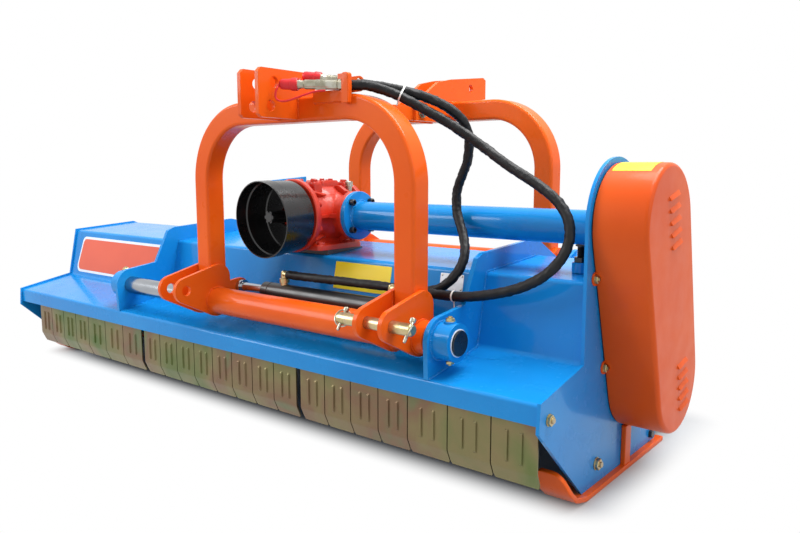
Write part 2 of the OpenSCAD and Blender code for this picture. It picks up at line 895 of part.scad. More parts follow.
module housing(x, y, z, r, way) {
    base_t = 10;
    translate([x, y, z])
        rotate([0, way * 90, 0])
            difference() {
                union() {
                    cylinder(h = base_t, r = r + 40);
                    cylinder(h = bearing_len, r = r + 22);
                }
                translate([0, 0, -cut])
                    cylinder(h = bearing_len + 2 * cut, r = r + run_fit);
            }
}

// Rods that carry the front flaps and the rear door
module hinge_rods() {
    past = 12;
    color(zinc)
        for (p = [[flap_rod_y, flap_rod_z], door_rod])
            rod_x(-plate_x - past, 2 * (plate_x + past), p[0], p[1], flap_rod_r);
}

// A sheet that hangs by a rolled eye, drawn about its rod
module hung_sheet(x0, w, length, tip, kick) {
    r = flap_rod_r + eye_fit;
    face = -r - flap_t * 0.9;
    difference() {
        union() {
            rod_x(x0, w, 0, 0, r + flap_t);
            along_x(x0, w)
                polygon(strip([[face + kick, -length], [face, tip - length], [face, 0]], flap_t));
        }
        rod_x(x0 - cut, w + 2 * cut, 0, 0, r);
    }
}

module flap(i) {
    color(zinc)
        translate([0, flap_rod_y, flap_rod_z])
            hung_sheet(flap_x(i), flap_w(i), flap_len, flap_tip, flap_kick);
}

module rear_door() {
    color(blue)
        translate([0, door_rod[0], door_rod[1]])
            mirror([0, 1, 0])
                hung_sheet(-door_w / 2, door_w, door_len, door_len / 4, flap_t);
}

module roller_arms() {
    color(blue)
        for (side = [0, 1])
            mirror([side, 0, 0])
                along_x(right_x - arm_t, arm_t)
                    difference() {
                        tangent_outline(arm_root, 38, [roller_y, roller_r], 45);
                        translate([roller_y, roller_r])
                            circle(roller_stub_r + run_fit);
                    }
}

module rear_roller() {
    body_w = hood_w - 2 * arm_t - 40;
    stub_w = hood_w - 6;
    color(iron) {
        hollow_drum(body_w, roller_y, roller_r, roller_r, roller_wall);
        for (side = [0, 1])
            mirror([side, 0, 0])
                rod_x(body_w / 2 - end_t, (stub_w - body_w) / 2 + end_t, roller_y, roller_r, roller_stub_r);
    }
}

// A tube with thick vented ends, for the rotor and the roller
module hollow_drum(w, y, z, r, wall) {
    vent_r = 6;
    difference() {
        rod_x(-w / 2, w, y, z, r);
        rod_x(-w / 2 + end_t, w - 2 * end_t, y, z, r - wall);
        rod_x(-w / 2 - cut, w + 2 * cut, y, z + r - wall - 2 * vent_r, vent_r);
    }
}

// Places each hammer along the rotor, a quarter turn on from the one before
module at_hammers() {
    span = hood_w - 2 * skid_w - 90;
    for (i = [0 : hammer_count - 1])
        translate([-span / 2 + span * i / (hammer_count - 1), rotor_y, rotor_z])
            rotate([90 * i + 45, 0, 0])
                children();
}
end_t = 20;
hammer_eye = drum_r + 26;
lug_space = 44;
hammer_lug_t = 8;

module rotor_drum() {
    drum_w = hood_w - 40;
    left_end = -plate_x - bearing_len + 6;
    right_end = pulley_x + pulley_w + 8;
    color(iron) {
        hollow_drum(drum_w, rotor_y, rotor_z, drum_r, drum_wall);
        rod_x(left_end, end_t - drum_w / 2 - left_end, rotor_y, rotor_z, stub_r);
        rod_x(drum_w / 2 - end_t, right_end - drum_w / 2 + end_t, rotor_y, rotor_z, stub_r);
        at_hammers()
            for (side = [-1, 1])
                hammer_lug(side);
    }
}

module hammer_lug(side) {
    r = 20;
    translate([side * (lug_space + hammer_lug_t) / 2 - hammer_lug_t / 2, 0, 0])
        rotate([90, 0, 90])
            linear_extrude(hammer_lug_t)
                difference() {
                    union() {
                        translate([0, hammer_eye])
                            circle(r);
                        translate([-r, drum_r - 6])
                            square([2 * r, hammer_eye - drum_r + 6]);
                    }
                    translate([0, hammer_eye])
                        circle(hammer_pin_r + eye_fit);
                }
}

// A cast hammer on its own pin, with a flared striking foot
module hammers() {
    eye_w = lug_space - 1;
    pin_w = lug_space + 2 * hammer_lug_t + 10;
    tip = swing_r - hammer_eye - 4;
    color(iron)
        at_hammers() {
            rod_x(-eye_w / 2, eye_w, 0, hammer_eye, hammer_pin_r + 8);
            rod_x(-pin_w / 2, pin_w, 0, hammer_eye, hammer_pin_r);
            translate([0, 0, hammer_eye])
                rotate([90, 0, 0])
                    linear_extrude(28, center = true)
                        polygon([
                            [-eye_w / 2, 0],
                            [eye_w / 2, 0],
                            [eye_w / 2, tip * 0.3],
                            [hammer_w / 2, tip * 0.6],
                            [hammer_w / 2, tip],
                            [-hammer_w / 2, tip],
                            [-hammer_w / 2, tip * 0.6],
                            [-eye_w / 2, tip * 0.3]
                        ]);
        }
}

module arch_shape(y, bar, top, s) {
    r = arch_bend;
    half = (arch_w - arch_s) / 2;
    z = top - arch_s / 2;
    for (side = [-1, 1]) {
        translate([hitch_x + side * half - s / 2, y - s / 2, bar])
            cube([s, s, z - r - bar]);
        translate([hitch_x + side * (half - r), y, z - r])
            rotate([90, 0, 0])
                rotate([0, 0, side > 0 ? 0 : 90])
                    rotate_extrude(angle = 90)
                        translate([r, 0])
                            square(s, center = true);
    }
    translate([hitch_x - half + r, y - s / 2, z - s / 2])
        cube([2 * (half - r), s, s]);
}

module arch(y, bar, bar_at_y, top) {
    difference() {
        arch_shape(y, bar + sleeve_r / 4, top, arch_s);
        arch_shape(y, bar, top, arch_s - 2 * arch_wall);
        rod_x(leg_x0 - cut, arch_w + 2 * cut, bar_at_y, bar, sleeve_r + eye_fit);
    }
}

module front_arch() {
    color(orange)
        arch(arch_y, bar_z, bar_y, arch_z);
}

module rear_arch() {
    color(orange)
        arch(rear_arch_y, rear_bar_z, rear_bar_y, rear_arch_z);
}

module slide_tubes() {
    color(orange)
        for (b = [[bar_y, bar_z], [rear_bar_y, rear_bar_z]])
            difference() {
                rod_x(carriage_x0, carriage_x1 - carriage_x0, b[0], b[1], sleeve_r);
                rod_x(carriage_x0 - cut, carriage_x1 - carriage_x0 + 2 * cut, b[0], b[1], bar_r + run_fit);
            }
}

// A lower lug around the slide tube, drawn about the bar with its nose towards -Y
module lug_outline(nose, top) {
    bar = [0, 0];
    crown = [arch_shift - 7, top - lug_crown_r];
    difference() {
        union() {
            translate(nose)
                circle(lug_nose_r);
            circle(lug_bar_r);
            translate(crown)
                circle(lug_crown_r);
            tangent_strip(nose, lug_nose_r, bar, lug_bar_r);
            tangent_strip(bar, lug_bar_r, crown, lug_crown_r);
            tangent_strip(crown, lug_crown_r, nose, lug_nose_r);
            polygon([nose, bar, crown]);
        }
        translate(nose)
            circle(link_bore_r);
        circle(sleeve_r + eye_fit);
    }
}

module lower_lugs() {
    color(orange) {
        for (i = [0 : 3]) {
            along_x(lug_xs[i], lug_t)
                translate([bar_y, bar_z])
                    lug_outline([-link_out, link_up], lug_top);
            along_x(lug_xs[i], lug_t)
                translate([rear_bar_y, rear_bar_z])
                    mirror([1, 0])
                        lug_outline([-rear_link_out, -rear_link_down], sleeve_r + 18);
        }
        along_x(lug_xs[1], lug_t)
            ram_ear();
    }
}

// Ear of the inner left lug that the shift cylinder pushes on
module ram_ear() {
    difference() {
        tangent_outline([ram_y, ram_z], 26, [bar_y, bar_z], lug_bar_r);
        translate([bar_y, bar_z])
            circle(sleeve_r + eye_fit);
    }
}

module mast_plates() {
    front = arch_y - arch_s / 2;
    back = arch_y + arch_s / 2;
    rear_front = rear_arch_y - arch_s / 2;
    rear_back = rear_arch_y + arch_s / 2;
    color(orange)
        for (x = mast_x) {
            along_x(x, lug_t)
                difference() {
                    polygon([
                        [mast_front_y, mast_low_z + 8],
                        [mast_front_y + 10, mast_low_z],
                        [front, mast_low_z],
                        [front, arch_z],
                        [back, arch_z],
                        [back, mast_low_z + mast_h - 10],
                        [back - 10, mast_low_z + mast_h],
                        [mast_front_y + 10, mast_low_z + mast_h],
                        [mast_front_y, mast_low_z + mast_h - 10]
                    ]);
                    for (h = top_holes)
                        translate(h)
                            circle(top_bore_r);
                }
            along_x(x, lug_t)
                difference() {
                    polygon([
                        [strut_bolt[0] - 30, strut_bolt[1] - 26],
                        [rear_front, strut_bolt[1] - 26],
                        [rear_front, rear_arch_z],
                        [rear_back, rear_arch_z],
                        [mast_rear_y, rear_arch_z + 23],
                        [mast_rear_y, rear_arch_z + 85],
                        [mast_rear_y - 15, rear_arch_z + 92],
                        [rear_front + 10, rear_arch_z + 70],
                        [rear_front - 60, rear_arch_z + 55],
                        [strut_bolt[0] - 30, strut_bolt[1] + 24]
                    ]);
                    translate(rear_top_hole)
                        circle(top_bore_r);
                    translate(strut_bolt)
                        circle(strut_bolt_r + eye_fit);
                }
        }
}

// Strut from the front beam to the rear mast plates
module mast_strut() {
    back = arch_y + arch_s / 2;
    half = 22;
    z0 = arch_z - arch_s / 2;
    color(orange)
        difference() {
            along_x(mast_x[0] + lug_t + seat, mast_gap - 2 * seat)
                polygon([
                    [back, z0 - half],
                    [strut_bolt[0] + 25, strut_bolt[1] - half],
                    [strut_bolt[0] + 25, strut_bolt[1] + half],
                    [back, z0 + half]
                ]);
            rod_x(mast_x[0], mast_gap + 2 * lug_t, strut_bolt[0], strut_bolt[1], strut_bolt_r + eye_fit);
        }
}

// A straight rod between two points
module rod_to(a, b, r) {
    d = b - a;
    translate(a)
        rotate([0, acos(d[2] / norm(d)), atan2(d[1], d[0])])
            cylinder(h = norm(d), r = r);
}

// Leaf on the beam's front face, the ear at its end and the holder that the couplers pass
module coupler_bracket() {
    bent_t = 6;
    leaf_w = 110;
    ear_w = 27;
    low = arch_z - 18;
    face = arch_y - arch_s / 2 - bent_t;
    x1 = coupler_x + bent_t / 2;
    holder_r = coupler_r + 5;
    color(orange)
        difference() {
            union() {
                translate([x1 - leaf_w, face, low])
                    cube([leaf_w, bent_t, 26]);
                translate([x1 - ear_w, face, low])
                    cube([ear_w, bent_t, 62]);
                along_x(x1 - bent_t, bent_t)
                    tangent_outline([for (k = [1, 2]) coupler_holes[0][k]], holder_r,
                        [for (k = [1, 2]) coupler_holes[1][k]], holder_r);
            }
            for (i = [0, 1]) {
                way = unit(coupler_tips[i] - coupler_holes[i]);
                rod_to(coupler_holes[i] - coupler_tail * way, coupler_tips[i], coupler_r + eye_fit);
            }
        }
}

// Two quick couplers with their dust caps
module quick_couplers() {
    cap_len = 45;
    for (i = [0, 1]) {
        way = unit(coupler_tips[i] - coupler_holes[i]);
        cap = coupler_tips[i] - cap_len * way;
        color(steel)
            rod_to(coupler_holes[i] - coupler_tail * way, cap + 10 * way, coupler_r);
        color("#c8161a")
            rod_to(cap, coupler_tips[i], coupler_r + 4);
    }
}

module cylinder_barrel() {
    bore_r = barrel_r - barrel_wall;
    back_x = barrel_x + barrel_len;
    color(black) {
        difference() {
            union() {
                rod_x(barrel_x, barrel_len, ram_y, ram_z, barrel_r);
                for (x = port_x)
                    translate([x, ram_y, ram_z])
                        cylinder(h = ram_port_h(), r = 11);
            }
            rod_x(barrel_x + 12, barrel_len - 24, ram_y, ram_z, bore_r);
            rod_x(barrel_x - cut, 14, ram_y, ram_z, ram_r + run_fit);
        }
        for (x = port_x)
            elbow(x);
    }
    color(blue)
        along_x(back_x, ram_tail_w)
            polygon([
                [ram_y - barrel_r, deck_top(ram_y - barrel_r)],
                [ram_y + barrel_r, deck_top(ram_y + barrel_r)],
                [ram_y + barrel_r, ram_z + barrel_r - 8],
                [ram_y - barrel_r, ram_z + barrel_r - 8]
            ]);
}
function ram_port_h() = barrel_r + port_h - 11;

// Hose end that turns from a port to the hose
module elbow(x) {
    z = ram_z + barrel_r + port_h;
    translate([x, ram_y, ram_z + ram_port_h()])
        cylinder(h = 22, r = 10);
    rod_x(x, 15, ram_y, z, 10);
}

module cylinder_rod() {
    piston_w = 25;
    nut_w = 14;
    color(steel) {
        rod_x(ear_x, ram_end - ear_x, ram_y, ram_z, ram_r);
        rod_x(ram_end - piston_w, piston_w, ram_y, ram_z, barrel_r - barrel_wall - run_fit);
        rod_x(ear_x, nut_w, ram_y, ram_z, ram_r + 7);
    }
}

// Round tube swept along a list of points, with flat ends
function tangent_at(p, i) =
    unit(p[min(i + 1, len(p) - 1)] - p[max(i - 1, 0)]);
function side_at(t) = unit(cross(t, abs(t[2]) > 0.9 ? [0, 1, 0] : [0, 0, 1]));
function carried(t, n) = unit(n - t * (n * t));
function frames(p, i, n) =
    i >= len(p) ? []
    : let (t = tangent_at(p, i), m = carried(t, n))
      concat([[m, cross(t, m)]], frames(p, i + 1, m));
module hose(p) {
    f = frames(p, 0, side_at(tangent_at(p, 0)));
    k = hose_sides;
    n = len(p);
    rings = [
        for (i = [0 : n - 1], j = [0 : k - 1])
            p[i] + hose_d / 2 * (cos(360 * j / k) * f[i][0] + sin(360 * j / k) * f[i][1])
    ];
    walls = [
        for (i = [0 : n - 2], j = [0 : k - 1])
            let (a = i * k + j, b = i * k + (j + 1) % k)
            each [[a, a + k, b], [b, a + k, b + k]]
    ];
    ends = [
        for (j = [1 : k - 2])
            each [[0, j, j + 1], [(n - 1) * k, (n - 1) * k + j + 1, (n - 1) * k + j]]
    ];
    polyhedron(rings, concat(walls, ends), convexity = 10);
}

module hose_long() {
    color(black)
        hose(hose_long_route);
}

module hose_short() {
    color(black)
        hose(hose_short_route);
}

// Lower link pin in the right lugs, its linchpins and the strut bolt
module hitch_pins() {
    x0 = lug_xs[2] - 73;
    x1 = lug_xs[3] + lug_t + 58;
    clip_r = 4;
    color(zinc) {
        difference() {
            rod_x(x0, x1 - x0, link_y, link_z, link_bore_r - run_fit);
            for (x = [x0 + 12, x1 - 12])
                translate([x, link_y, link_z - 2 * link_bore_r])
                    cylinder(h = 4 * link_bore_r, r = clip_r + eye_fit);
        }
        for (x = [x0 + 12, x1 - 12])
            translate([x, link_y, link_z - link_bore_r - 14])
                cylinder(h = 2 * link_bore_r + 30, r = clip_r);
        rod_x(mast_x[0], mast_gap + 2 * lug_t, strut_bolt[0], strut_bolt[1], strut_bolt_r);
        hex_head_x(mast_x[0] - 9, strut_bolt[0], strut_bolt[1], 30, 9);
        hex_head_x(mast_x[1] + lug_t, strut_bolt[0], strut_bolt[1], 30, 12);
    }
}

// Bolt heads and nuts on the deck
module deck_fasteners() {
    nut_h = 10;
    color(zinc) {
        for (way = [-1, 1]) {
            x = way > 0 ? plate_x : -plate_x - nut_h;
            hex_head_x(x, sole_y + 75, skid_t + 48, 24, nut_h);
            hex_head_x(x, arm_root[0], arm_root[1] - 5, 24, nut_h);
        }
        for (x = [rib_left_x - boss_len / 2, rib_right_x + rib_t + boss_len / 2])
            translate([x, bar_y, bar_z + boss_r + pad_h])
                cylinder(h = nut_h, d = 22, $fn = 6);
        tension_screw();
    }
}

// Screw that holds the drive tube up off the hood
module tension_screw() {
    x = right_x - 70;
    seat_r = 20;
    seat_h = 24;
    nut_h = 12;
    z = top_z(drive_y + seat_r);
    translate([x, drive_y, z])
        cylinder(h = seat_h, r = seat_r);
    translate([x, drive_y, z + seat_h])
        cylinder(h = nut_h, d = 30, $fn = 6);
    translate([x, drive_y, z + seat_h + nut_h])
        cylinder(h = drive_z - tube_r - z - seat_h - nut_h - seat, r = 9);
}

module in_place() {
    translate(datum)
        children();
}

in_place() hood_shell();
in_place() right_side_plate();
in_place() left_side_plate();
in_place() support_ribs();
in_place() slide_bars();
in_place() belt_cover();
in_place() skids();
in_place() deck_fasteners();
in_place() gearbox_case();
in_place() gearbox_saddle();
in_place() drive_tube();
in_place() flange_screws();
in_place() shaft_shields();
in_place() cylinder_barrel();
in_place() hose_long();
in_place() hose_short();
in_place() bearing_housings();
in_place() hinge_rods();
in_place() roller_arms();
in_place() drive_belts();
in_place() rear_door();
in_place() input_shaft();
in_place() drive_shaft();
in_place() upper_pulley();
in_place() lower_pulley();
in_place() rotor_drum();
in_place() hammers();
in_place() rear_roller();
in_place() front_arch();
in_place() rear_arch();
in_place() slide_tubes();
in_place() lower_lugs();
in_place() mast_plates();
in_place() mast_strut();
in_place() coupler_bracket();
in_place() quick_couplers();
in_place() cylinder_rod();
in_place() hitch_pins();
for (i = [0 : flap_count - 1])
    in_place() flap(i);
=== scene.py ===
import bmesh
import bpy
import math
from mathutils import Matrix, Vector, noise


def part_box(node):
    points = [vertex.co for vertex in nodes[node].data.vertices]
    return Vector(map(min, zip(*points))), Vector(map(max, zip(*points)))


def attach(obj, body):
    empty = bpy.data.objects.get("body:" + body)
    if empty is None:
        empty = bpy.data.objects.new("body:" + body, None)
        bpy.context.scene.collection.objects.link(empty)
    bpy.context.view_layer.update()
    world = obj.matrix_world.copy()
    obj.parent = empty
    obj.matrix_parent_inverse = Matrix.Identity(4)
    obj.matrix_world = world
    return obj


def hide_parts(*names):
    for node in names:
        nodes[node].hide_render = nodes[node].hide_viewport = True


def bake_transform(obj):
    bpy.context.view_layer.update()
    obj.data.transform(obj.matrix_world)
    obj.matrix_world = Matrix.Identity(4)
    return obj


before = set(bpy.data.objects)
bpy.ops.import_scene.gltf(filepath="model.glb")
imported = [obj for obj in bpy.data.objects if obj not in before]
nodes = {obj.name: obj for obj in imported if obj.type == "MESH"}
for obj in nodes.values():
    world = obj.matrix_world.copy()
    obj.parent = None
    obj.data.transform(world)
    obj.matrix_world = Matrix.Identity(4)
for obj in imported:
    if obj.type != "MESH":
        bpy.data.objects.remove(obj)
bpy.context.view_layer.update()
scene = bpy.context.scene
print("frame:", len(nodes), "nodes")

# machine millimetres: X 0 at the hood's middle, Y 0 at the lip, Z 0 on the ground
frameX, frameY = 45, 400  # the frame's origin in them


def at(x, y, z):
    return Vector((x - frameX, y - frameY, z)) / 1000


def linear(r, g, b):
    shares = [c / 255 for c in (r, g, b)]
    return tuple(((s + 0.055) / 1.055) ** 2.4 if s > 10 / 255 else s / 12.92 for s in shares) + (1.0,)


def polar(turn):
    return math.cos(math.radians(turn)), math.sin(math.radians(turn))


# camera first, at the photo's own viewing angle
eye = {"place": (1.704, -1.630, 0.716), "down": 7.602, "turn": 38.94, "lens": 32.77, "sensor": 36}
camera = bpy.data.objects.new("camera", bpy.data.cameras.new("camera"))
camera.location = eye["place"]
camera.rotation_euler = (math.radians(90 - eye["down"]), 0, math.radians(eye["turn"]))
camera.data.lens = eye["lens"]
camera.data.sensor_width = eye["sensor"]
scene.collection.objects.link(camera)
scene.camera = camera


# an input is set to a value, or linked where a socket is given, or a node, which stands for its first output
def setInputs(tree, node, inputs):
    for key, value in inputs.items():
        if isinstance(value, bpy.types.Node):
            value = value.outputs[0]
        if isinstance(value, bpy.types.NodeSocket):
            tree.links.new(value, node.inputs[key])
        else:
            node.inputs[key].default_value = value
    return node


def addNode(tree, kind, inputs=None, **settings):
    made = tree.nodes.new(kind)
    for key, value in settings.items():
        setattr(made, key, value)
    return setInputs(tree, made, inputs or {})


# finishes: each has its own drift of colour and roughness on Object coordinates, and most have fine relief,
# given as its depth in mm and its scale
def makeFinish(name, colors, drift, rough, roughScale=22.0, metal=0.0, coat=0.0, coatRough=0.06, relief=None,
               stretch=(1, 1, 1), warp=0.0, specular=0.5):
    made = bpy.data.materials.new(name)
    made.use_nodes = True
    tree = made.node_tree
    coords = addNode(tree, "ShaderNodeTexCoord").outputs["Object"]
    mapping = addNode(tree, "ShaderNodeMapping", {"Vector": coords, "Scale": stretch})

    def cloud(scale, detail):
        return addNode(tree, "ShaderNodeTexNoise", {"Vector": mapping, "Scale": scale, "Detail": detail,
                                                    "Distortion": warp})

    ramp = addNode(tree, "ShaderNodeValToRGB", {"Fac": cloud(drift, 5)})
    stops = ramp.color_ramp.elements
    while len(stops) < len(colors):
        stops.new(0.5)
    for i, color in enumerate(colors):
        stops[i].position = 0.3 + 0.4 * i / (len(colors) - 1)
        stops[i].color = linear(*color)
    spread = addNode(tree, "ShaderNodeMapRange", {
        "Value": cloud(roughScale, 4), "From Min": 0.3, "From Max": 0.7, "To Min": rough[0],
        "To Max": rough[1]})
    surface = {"Base Color": ramp, "Roughness": spread, "Metallic": metal, "Coat Weight": coat,
               "Coat Roughness": coatRough, "Specular IOR Level": specular}
    if relief:
        surface["Normal"] = addNode(tree, "ShaderNodeBump", {"Distance": relief[0] / 1000, "Strength": 1.0,
                                                             "Height": cloud(relief[1], 3)})
    setInputs(tree, tree.nodes["Principled BSDF"], surface)
    return made


finishes = {
    "blue": makeFinish("skyBluePaint", [(14, 126, 199), (19, 133, 206), (25, 140, 212)], drift=3.5,
                       rough=(0.2, 0.3), coat=0.35, relief=(0.03, 90), specular=0.1),
    "orange": makeFinish("orangePaint", [(226, 86, 16), (231, 92, 20), (235, 99, 26)], drift=4.0,
                         rough=(0.26, 0.36), coat=0.2, relief=(0.03, 110), specular=0.1),
    "cover": makeFinish("coverPaint", [(212, 78, 16), (217, 84, 20), (222, 91, 25)], drift=4.0,
                        rough=(0.34, 0.44), coat=0.12, coatRough=0.1, relief=(0.04, 140), specular=0.14),
    "casting": makeFinish("redCasting", [(196, 40, 14), (206, 48, 19), (214, 58, 26)], drift=14.0,
                          rough=(0.34, 0.5), coat=0.35, coatRough=0.14, relief=(0.5, 240)),
    "plastic": makeFinish("blackPlastic", [(12, 12, 13), (17, 17, 18), (22, 22, 24)], drift=16.0,
                          rough=(0.22, 0.34), coat=0.25, coatRough=0.1, relief=(0.08, 260)),
    "black": makeFinish("blackPaint", [(16, 17, 19), (21, 22, 24), (27, 28, 30)], drift=12.0,
                        rough=(0.3, 0.42), coat=0.2, relief=(0.1, 220)),
    "bright": makeFinish("brightSteel", [(176, 181, 186), (190, 194, 198), (204, 207, 210)], drift=18.0,
                         rough=(0.16, 0.26), metal=1.0, relief=(0.04, 500), stretch=(0.4, 1, 1)),
    "bar": makeFinish("groundSteel", [(146, 150, 156), (160, 164, 169), (174, 177, 181)], drift=18.0,
                      rough=(0.14, 0.22), metal=1.0, relief=(0.04, 500), stretch=(0.4, 1, 1)),
    "zinc": makeFinish("yellowZinc", [(160, 150, 116), (186, 172, 126), (200, 182, 140), (176, 158, 138)],
                       drift=45.0, rough=(0.26, 0.4), metal=1.0, relief=(0.06, 500), warp=0.6),
    "flap": makeFinish("flapZinc", [(86, 106, 52), (110, 114, 70), (128, 116, 79), (124, 97, 74),
                                    (104, 116, 80)],
                       drift=4.2, rough=(0.28, 0.4), metal=0.6, relief=(0.1, 70), warp=0.5),
    "grey": makeFinish("greySteel", [(72, 73, 75), (88, 89, 91), (104, 104, 104)], drift=10.0,
                       rough=(0.45, 0.62), metal=0.6, relief=(0.2, 180)),
    "iron": makeFinish("castSteel", [(58, 59, 61), (70, 71, 73), (84, 84, 85)], drift=24.0,
                       rough=(0.45, 0.6), metal=0.5, relief=(0.4, 260)),
    "coupler": makeFinish("couplerSteel", [(150, 146, 126), (172, 168, 150), (190, 188, 176)], drift=60.0,
                          rough=(0.24, 0.36), metal=1.0, relief=(0.04, 600)),
    "cap": makeFinish("redPlastic", [(206, 20, 28), (216, 27, 35), (225, 36, 43)], drift=40.0,
                      rough=(0.36, 0.48), relief=(0.08, 500)),
    "sleeve": makeFinish("hoseSleeve", [(9, 10, 12), (14, 15, 17), (19, 20, 23)], drift=60.0,
                         rough=(0.42, 0.58), relief=(0.4, 500), specular=0.3),
    "rubber": makeFinish("beltRubber", [(22, 22, 23), (28, 28, 29)], drift=30.0, rough=(0.6, 0.75),
                         relief=(0.3, 300)),
    "yellow": makeFinish("yellowFilm", [(250, 218, 8), (255, 226, 14)], drift=9.0, rough=(0.32, 0.42),
                         relief=(0.03, 300)),
    "panel": makeFinish("orangePanel", [(222, 76, 40), (230, 84, 46)], drift=5.0, rough=(0.28, 0.36),
                        coat=0.3),
    "pale": makeFinish("paleBorder", [(226, 230, 236), (236, 239, 243)], drift=8.0, rough=(0.3, 0.4),
                       coat=0.2),
    "plate": makeFinish("plainPlate", [(186, 190, 196), (200, 203, 208), (212, 214, 218)], drift=60.0,
                        rough=(0.3, 0.42), metal=0.35, relief=(0.05, 900), stretch=(0.3, 1, 1)),
    "nylon": makeFinish("whiteNylon", [(214, 214, 208), (226, 226, 221)], drift=60.0, rough=(0.4, 0.5)),
}

print("finishes:", len(finishes))


# mesh building in machine millimetres
def newShape():
    return {"points": [], "faces": []}


# a skin over rings of points, closed into a loop or capped at both ends
def addRings(shape, rings, loop=False):
    start, n, rows = len(shape["points"]), len(rings[0]), len(rings)
    for ring in rings:
        shape["points"] += [tuple(p) for p in ring]
    for i in range(rows if loop else rows - 1):
        a, b = start + i * n, start + (i + 1) % rows * n
        shape["faces"] += [(a + j, a + (j + 1) % n, b + (j + 1) % n, b + j) for j in range(n)]
    if not loop:
        last = start + (rows - 1) * n
        shape["faces"] += [tuple(start + j for j in reversed(range(n))), tuple(last + j for j in range(n))]


def around(axis, origin, r, d, turn):
    c, s = r * math.cos(turn), r * math.sin(turn)
    x, y, z = origin
    return {"x": (x + d, y + c, z + s), "y": (x + c, y + d, z + s), "z": (x + c, y + s, z + d)}[axis]


# profile holds (radius, distance along the axis) pairs
def addTurned(shape, axis, origin, profile, sides=48, loop=False):
    turns = [2 * math.pi * j / sides for j in range(sides)]
    addRings(shape, [[around(axis, origin, max(r, 0.001), d, a) for a in turns] for r, d in profile], loop)


# the same along any direction: distances run from start
def addTurnedTo(shape, start, way, profile, sides=48, loop=False):
    start, way = Vector(start), Vector(way).normalized()
    side = way.orthogonal().normalized()
    up = way.cross(side)
    turns = [2 * math.pi * j / sides for j in range(sides)]
    spokes = [math.cos(a) * side + math.sin(a) * up for a in turns]
    addRings(shape, [[start + way * d + max(r, 0.001) * spoke for spoke in spokes] for r, d in profile], loop)


def addSlab(shape, outline, x0, x1, axis="x"):
    place = {"x": lambda a, b, d: (d, a, b), "y": lambda a, b, d: (a, d, b)}[axis]
    addRings(shape, [[place(a, b, d) for a, b in outline] for d in (x0, x1)])


# webs that stand out from an axis, 2 * half thick: profile holds (distance along the axis, radius) pairs
def addWebs(shape, axis, origin, turns, half, profile):
    x, y, z = origin
    for turn in turns:
        c, s = polar(turn)
        rings = []
        for d in (-half, half):
            flat = [(p, c * q - s * d, s * q + c * d) for p, q in profile]
            rings.append([(p, y + a, z + b) if axis == "x" else (x + a, p, z + b) for p, a, b in flat])
        addRings(shape, rings)


# a tube along a path: its radius is a number, or a function of the run and the turn
def addSwept(shape, path, radius, sides=16):
    path = [Vector(p) for p in path]
    side = (path[1] - path[0]).normalized().orthogonal().normalized()
    rings, run = [], 0.0
    for i, p in enumerate(path):
        run += (p - path[i - 1]).length if i else 0.0
        way = (path[min(i + 1, len(path) - 1)] - path[max(i - 1, 0)]).normalized()
        side = (side - way * side.dot(way)).normalized()
        up = way.cross(side)
        ring = []
        for j in range(sides):
            turn = 2 * math.pi * j / sides
            r = radius(run, turn) if callable(radius) else radius
            ring.append(p + r * (math.cos(turn) * side + math.sin(turn) * up))
        rings.append(ring)
    addRings(shape, rings)


def rounded(points, radii, steps=6, closed=True):
    made = []
    n = len(points)
    for i, p in enumerate(points):
        r = radii[i] if isinstance(radii, (list, tuple)) else radii
        if r <= 0 or (not closed and i in (0, n - 1)):
            made.append(tuple(p))
            continue
        p = Vector(p)
        a = (Vector(points[i - 1]) - p).normalized()
        b = (Vector(points[(i + 1) % n]) - p).normalized()
        half = a.angle(b) / 2
        reach = r / math.tan(half)
        middle = p + (a + b).normalized() * (r / math.sin(half))
        start, end = p + a * reach - middle, p + b * reach - middle
        sweep = start.angle_signed(end)
        first = math.atan2(start.y, start.x)
        for k in range(steps + 1):
            turn = first - sweep * k / steps
            made.append((middle.x + r * math.cos(turn), middle.y + r * math.sin(turn)))
    return made


def offsetLine(line, t):
    made = []
    for i, p in enumerate(line):
        p = Vector(p)
        before = (p - Vector(line[i - 1])).normalized() if i else None
        after = (Vector(line[i + 1]) - p).normalized() if i < len(line) - 1 else None
        n = Vector((0, 0))
        for d in (before, after):
            if d is not None:
                n += Vector((d.y, -d.x))
        n.normalize()
        d = before or after
        made.append(tuple(p + n * t / max(0.3, n.dot(Vector((d.y, -d.x))))))
    return made


def plainMesh(name, shape):
    mesh = bpy.data.meshes.new(name)
    mesh.from_pydata([at(*p) for p in shape["points"]], [], shape["faces"])
    work = bmesh.new()
    work.from_mesh(mesh)
    bmesh.ops.remove_doubles(work, verts=work.verts, dist=0.000008)
    bmesh.ops.recalc_face_normals(work, faces=work.faces)
    work.to_mesh(mesh)
    work.free()
    return mesh


def newObject(name, data):
    obj = bpy.data.objects.new(name, data)
    scene.collection.objects.link(obj)
    return obj


def bake(obj):
    bpy.context.view_layer.update()
    ready = bpy.context.evaluated_depsgraph_get()
    made = bpy.data.meshes.new_from_object(obj.evaluated_get(ready), depsgraph=ready)
    obj.modifiers.clear()
    obj.data = made
    return made


def shadeSmooth(mesh, sharp):
    mesh.polygons.foreach_set("use_smooth", [True] * len(mesh.polygons))
    mesh.set_sharp_from_angle(angle=math.radians(sharp))
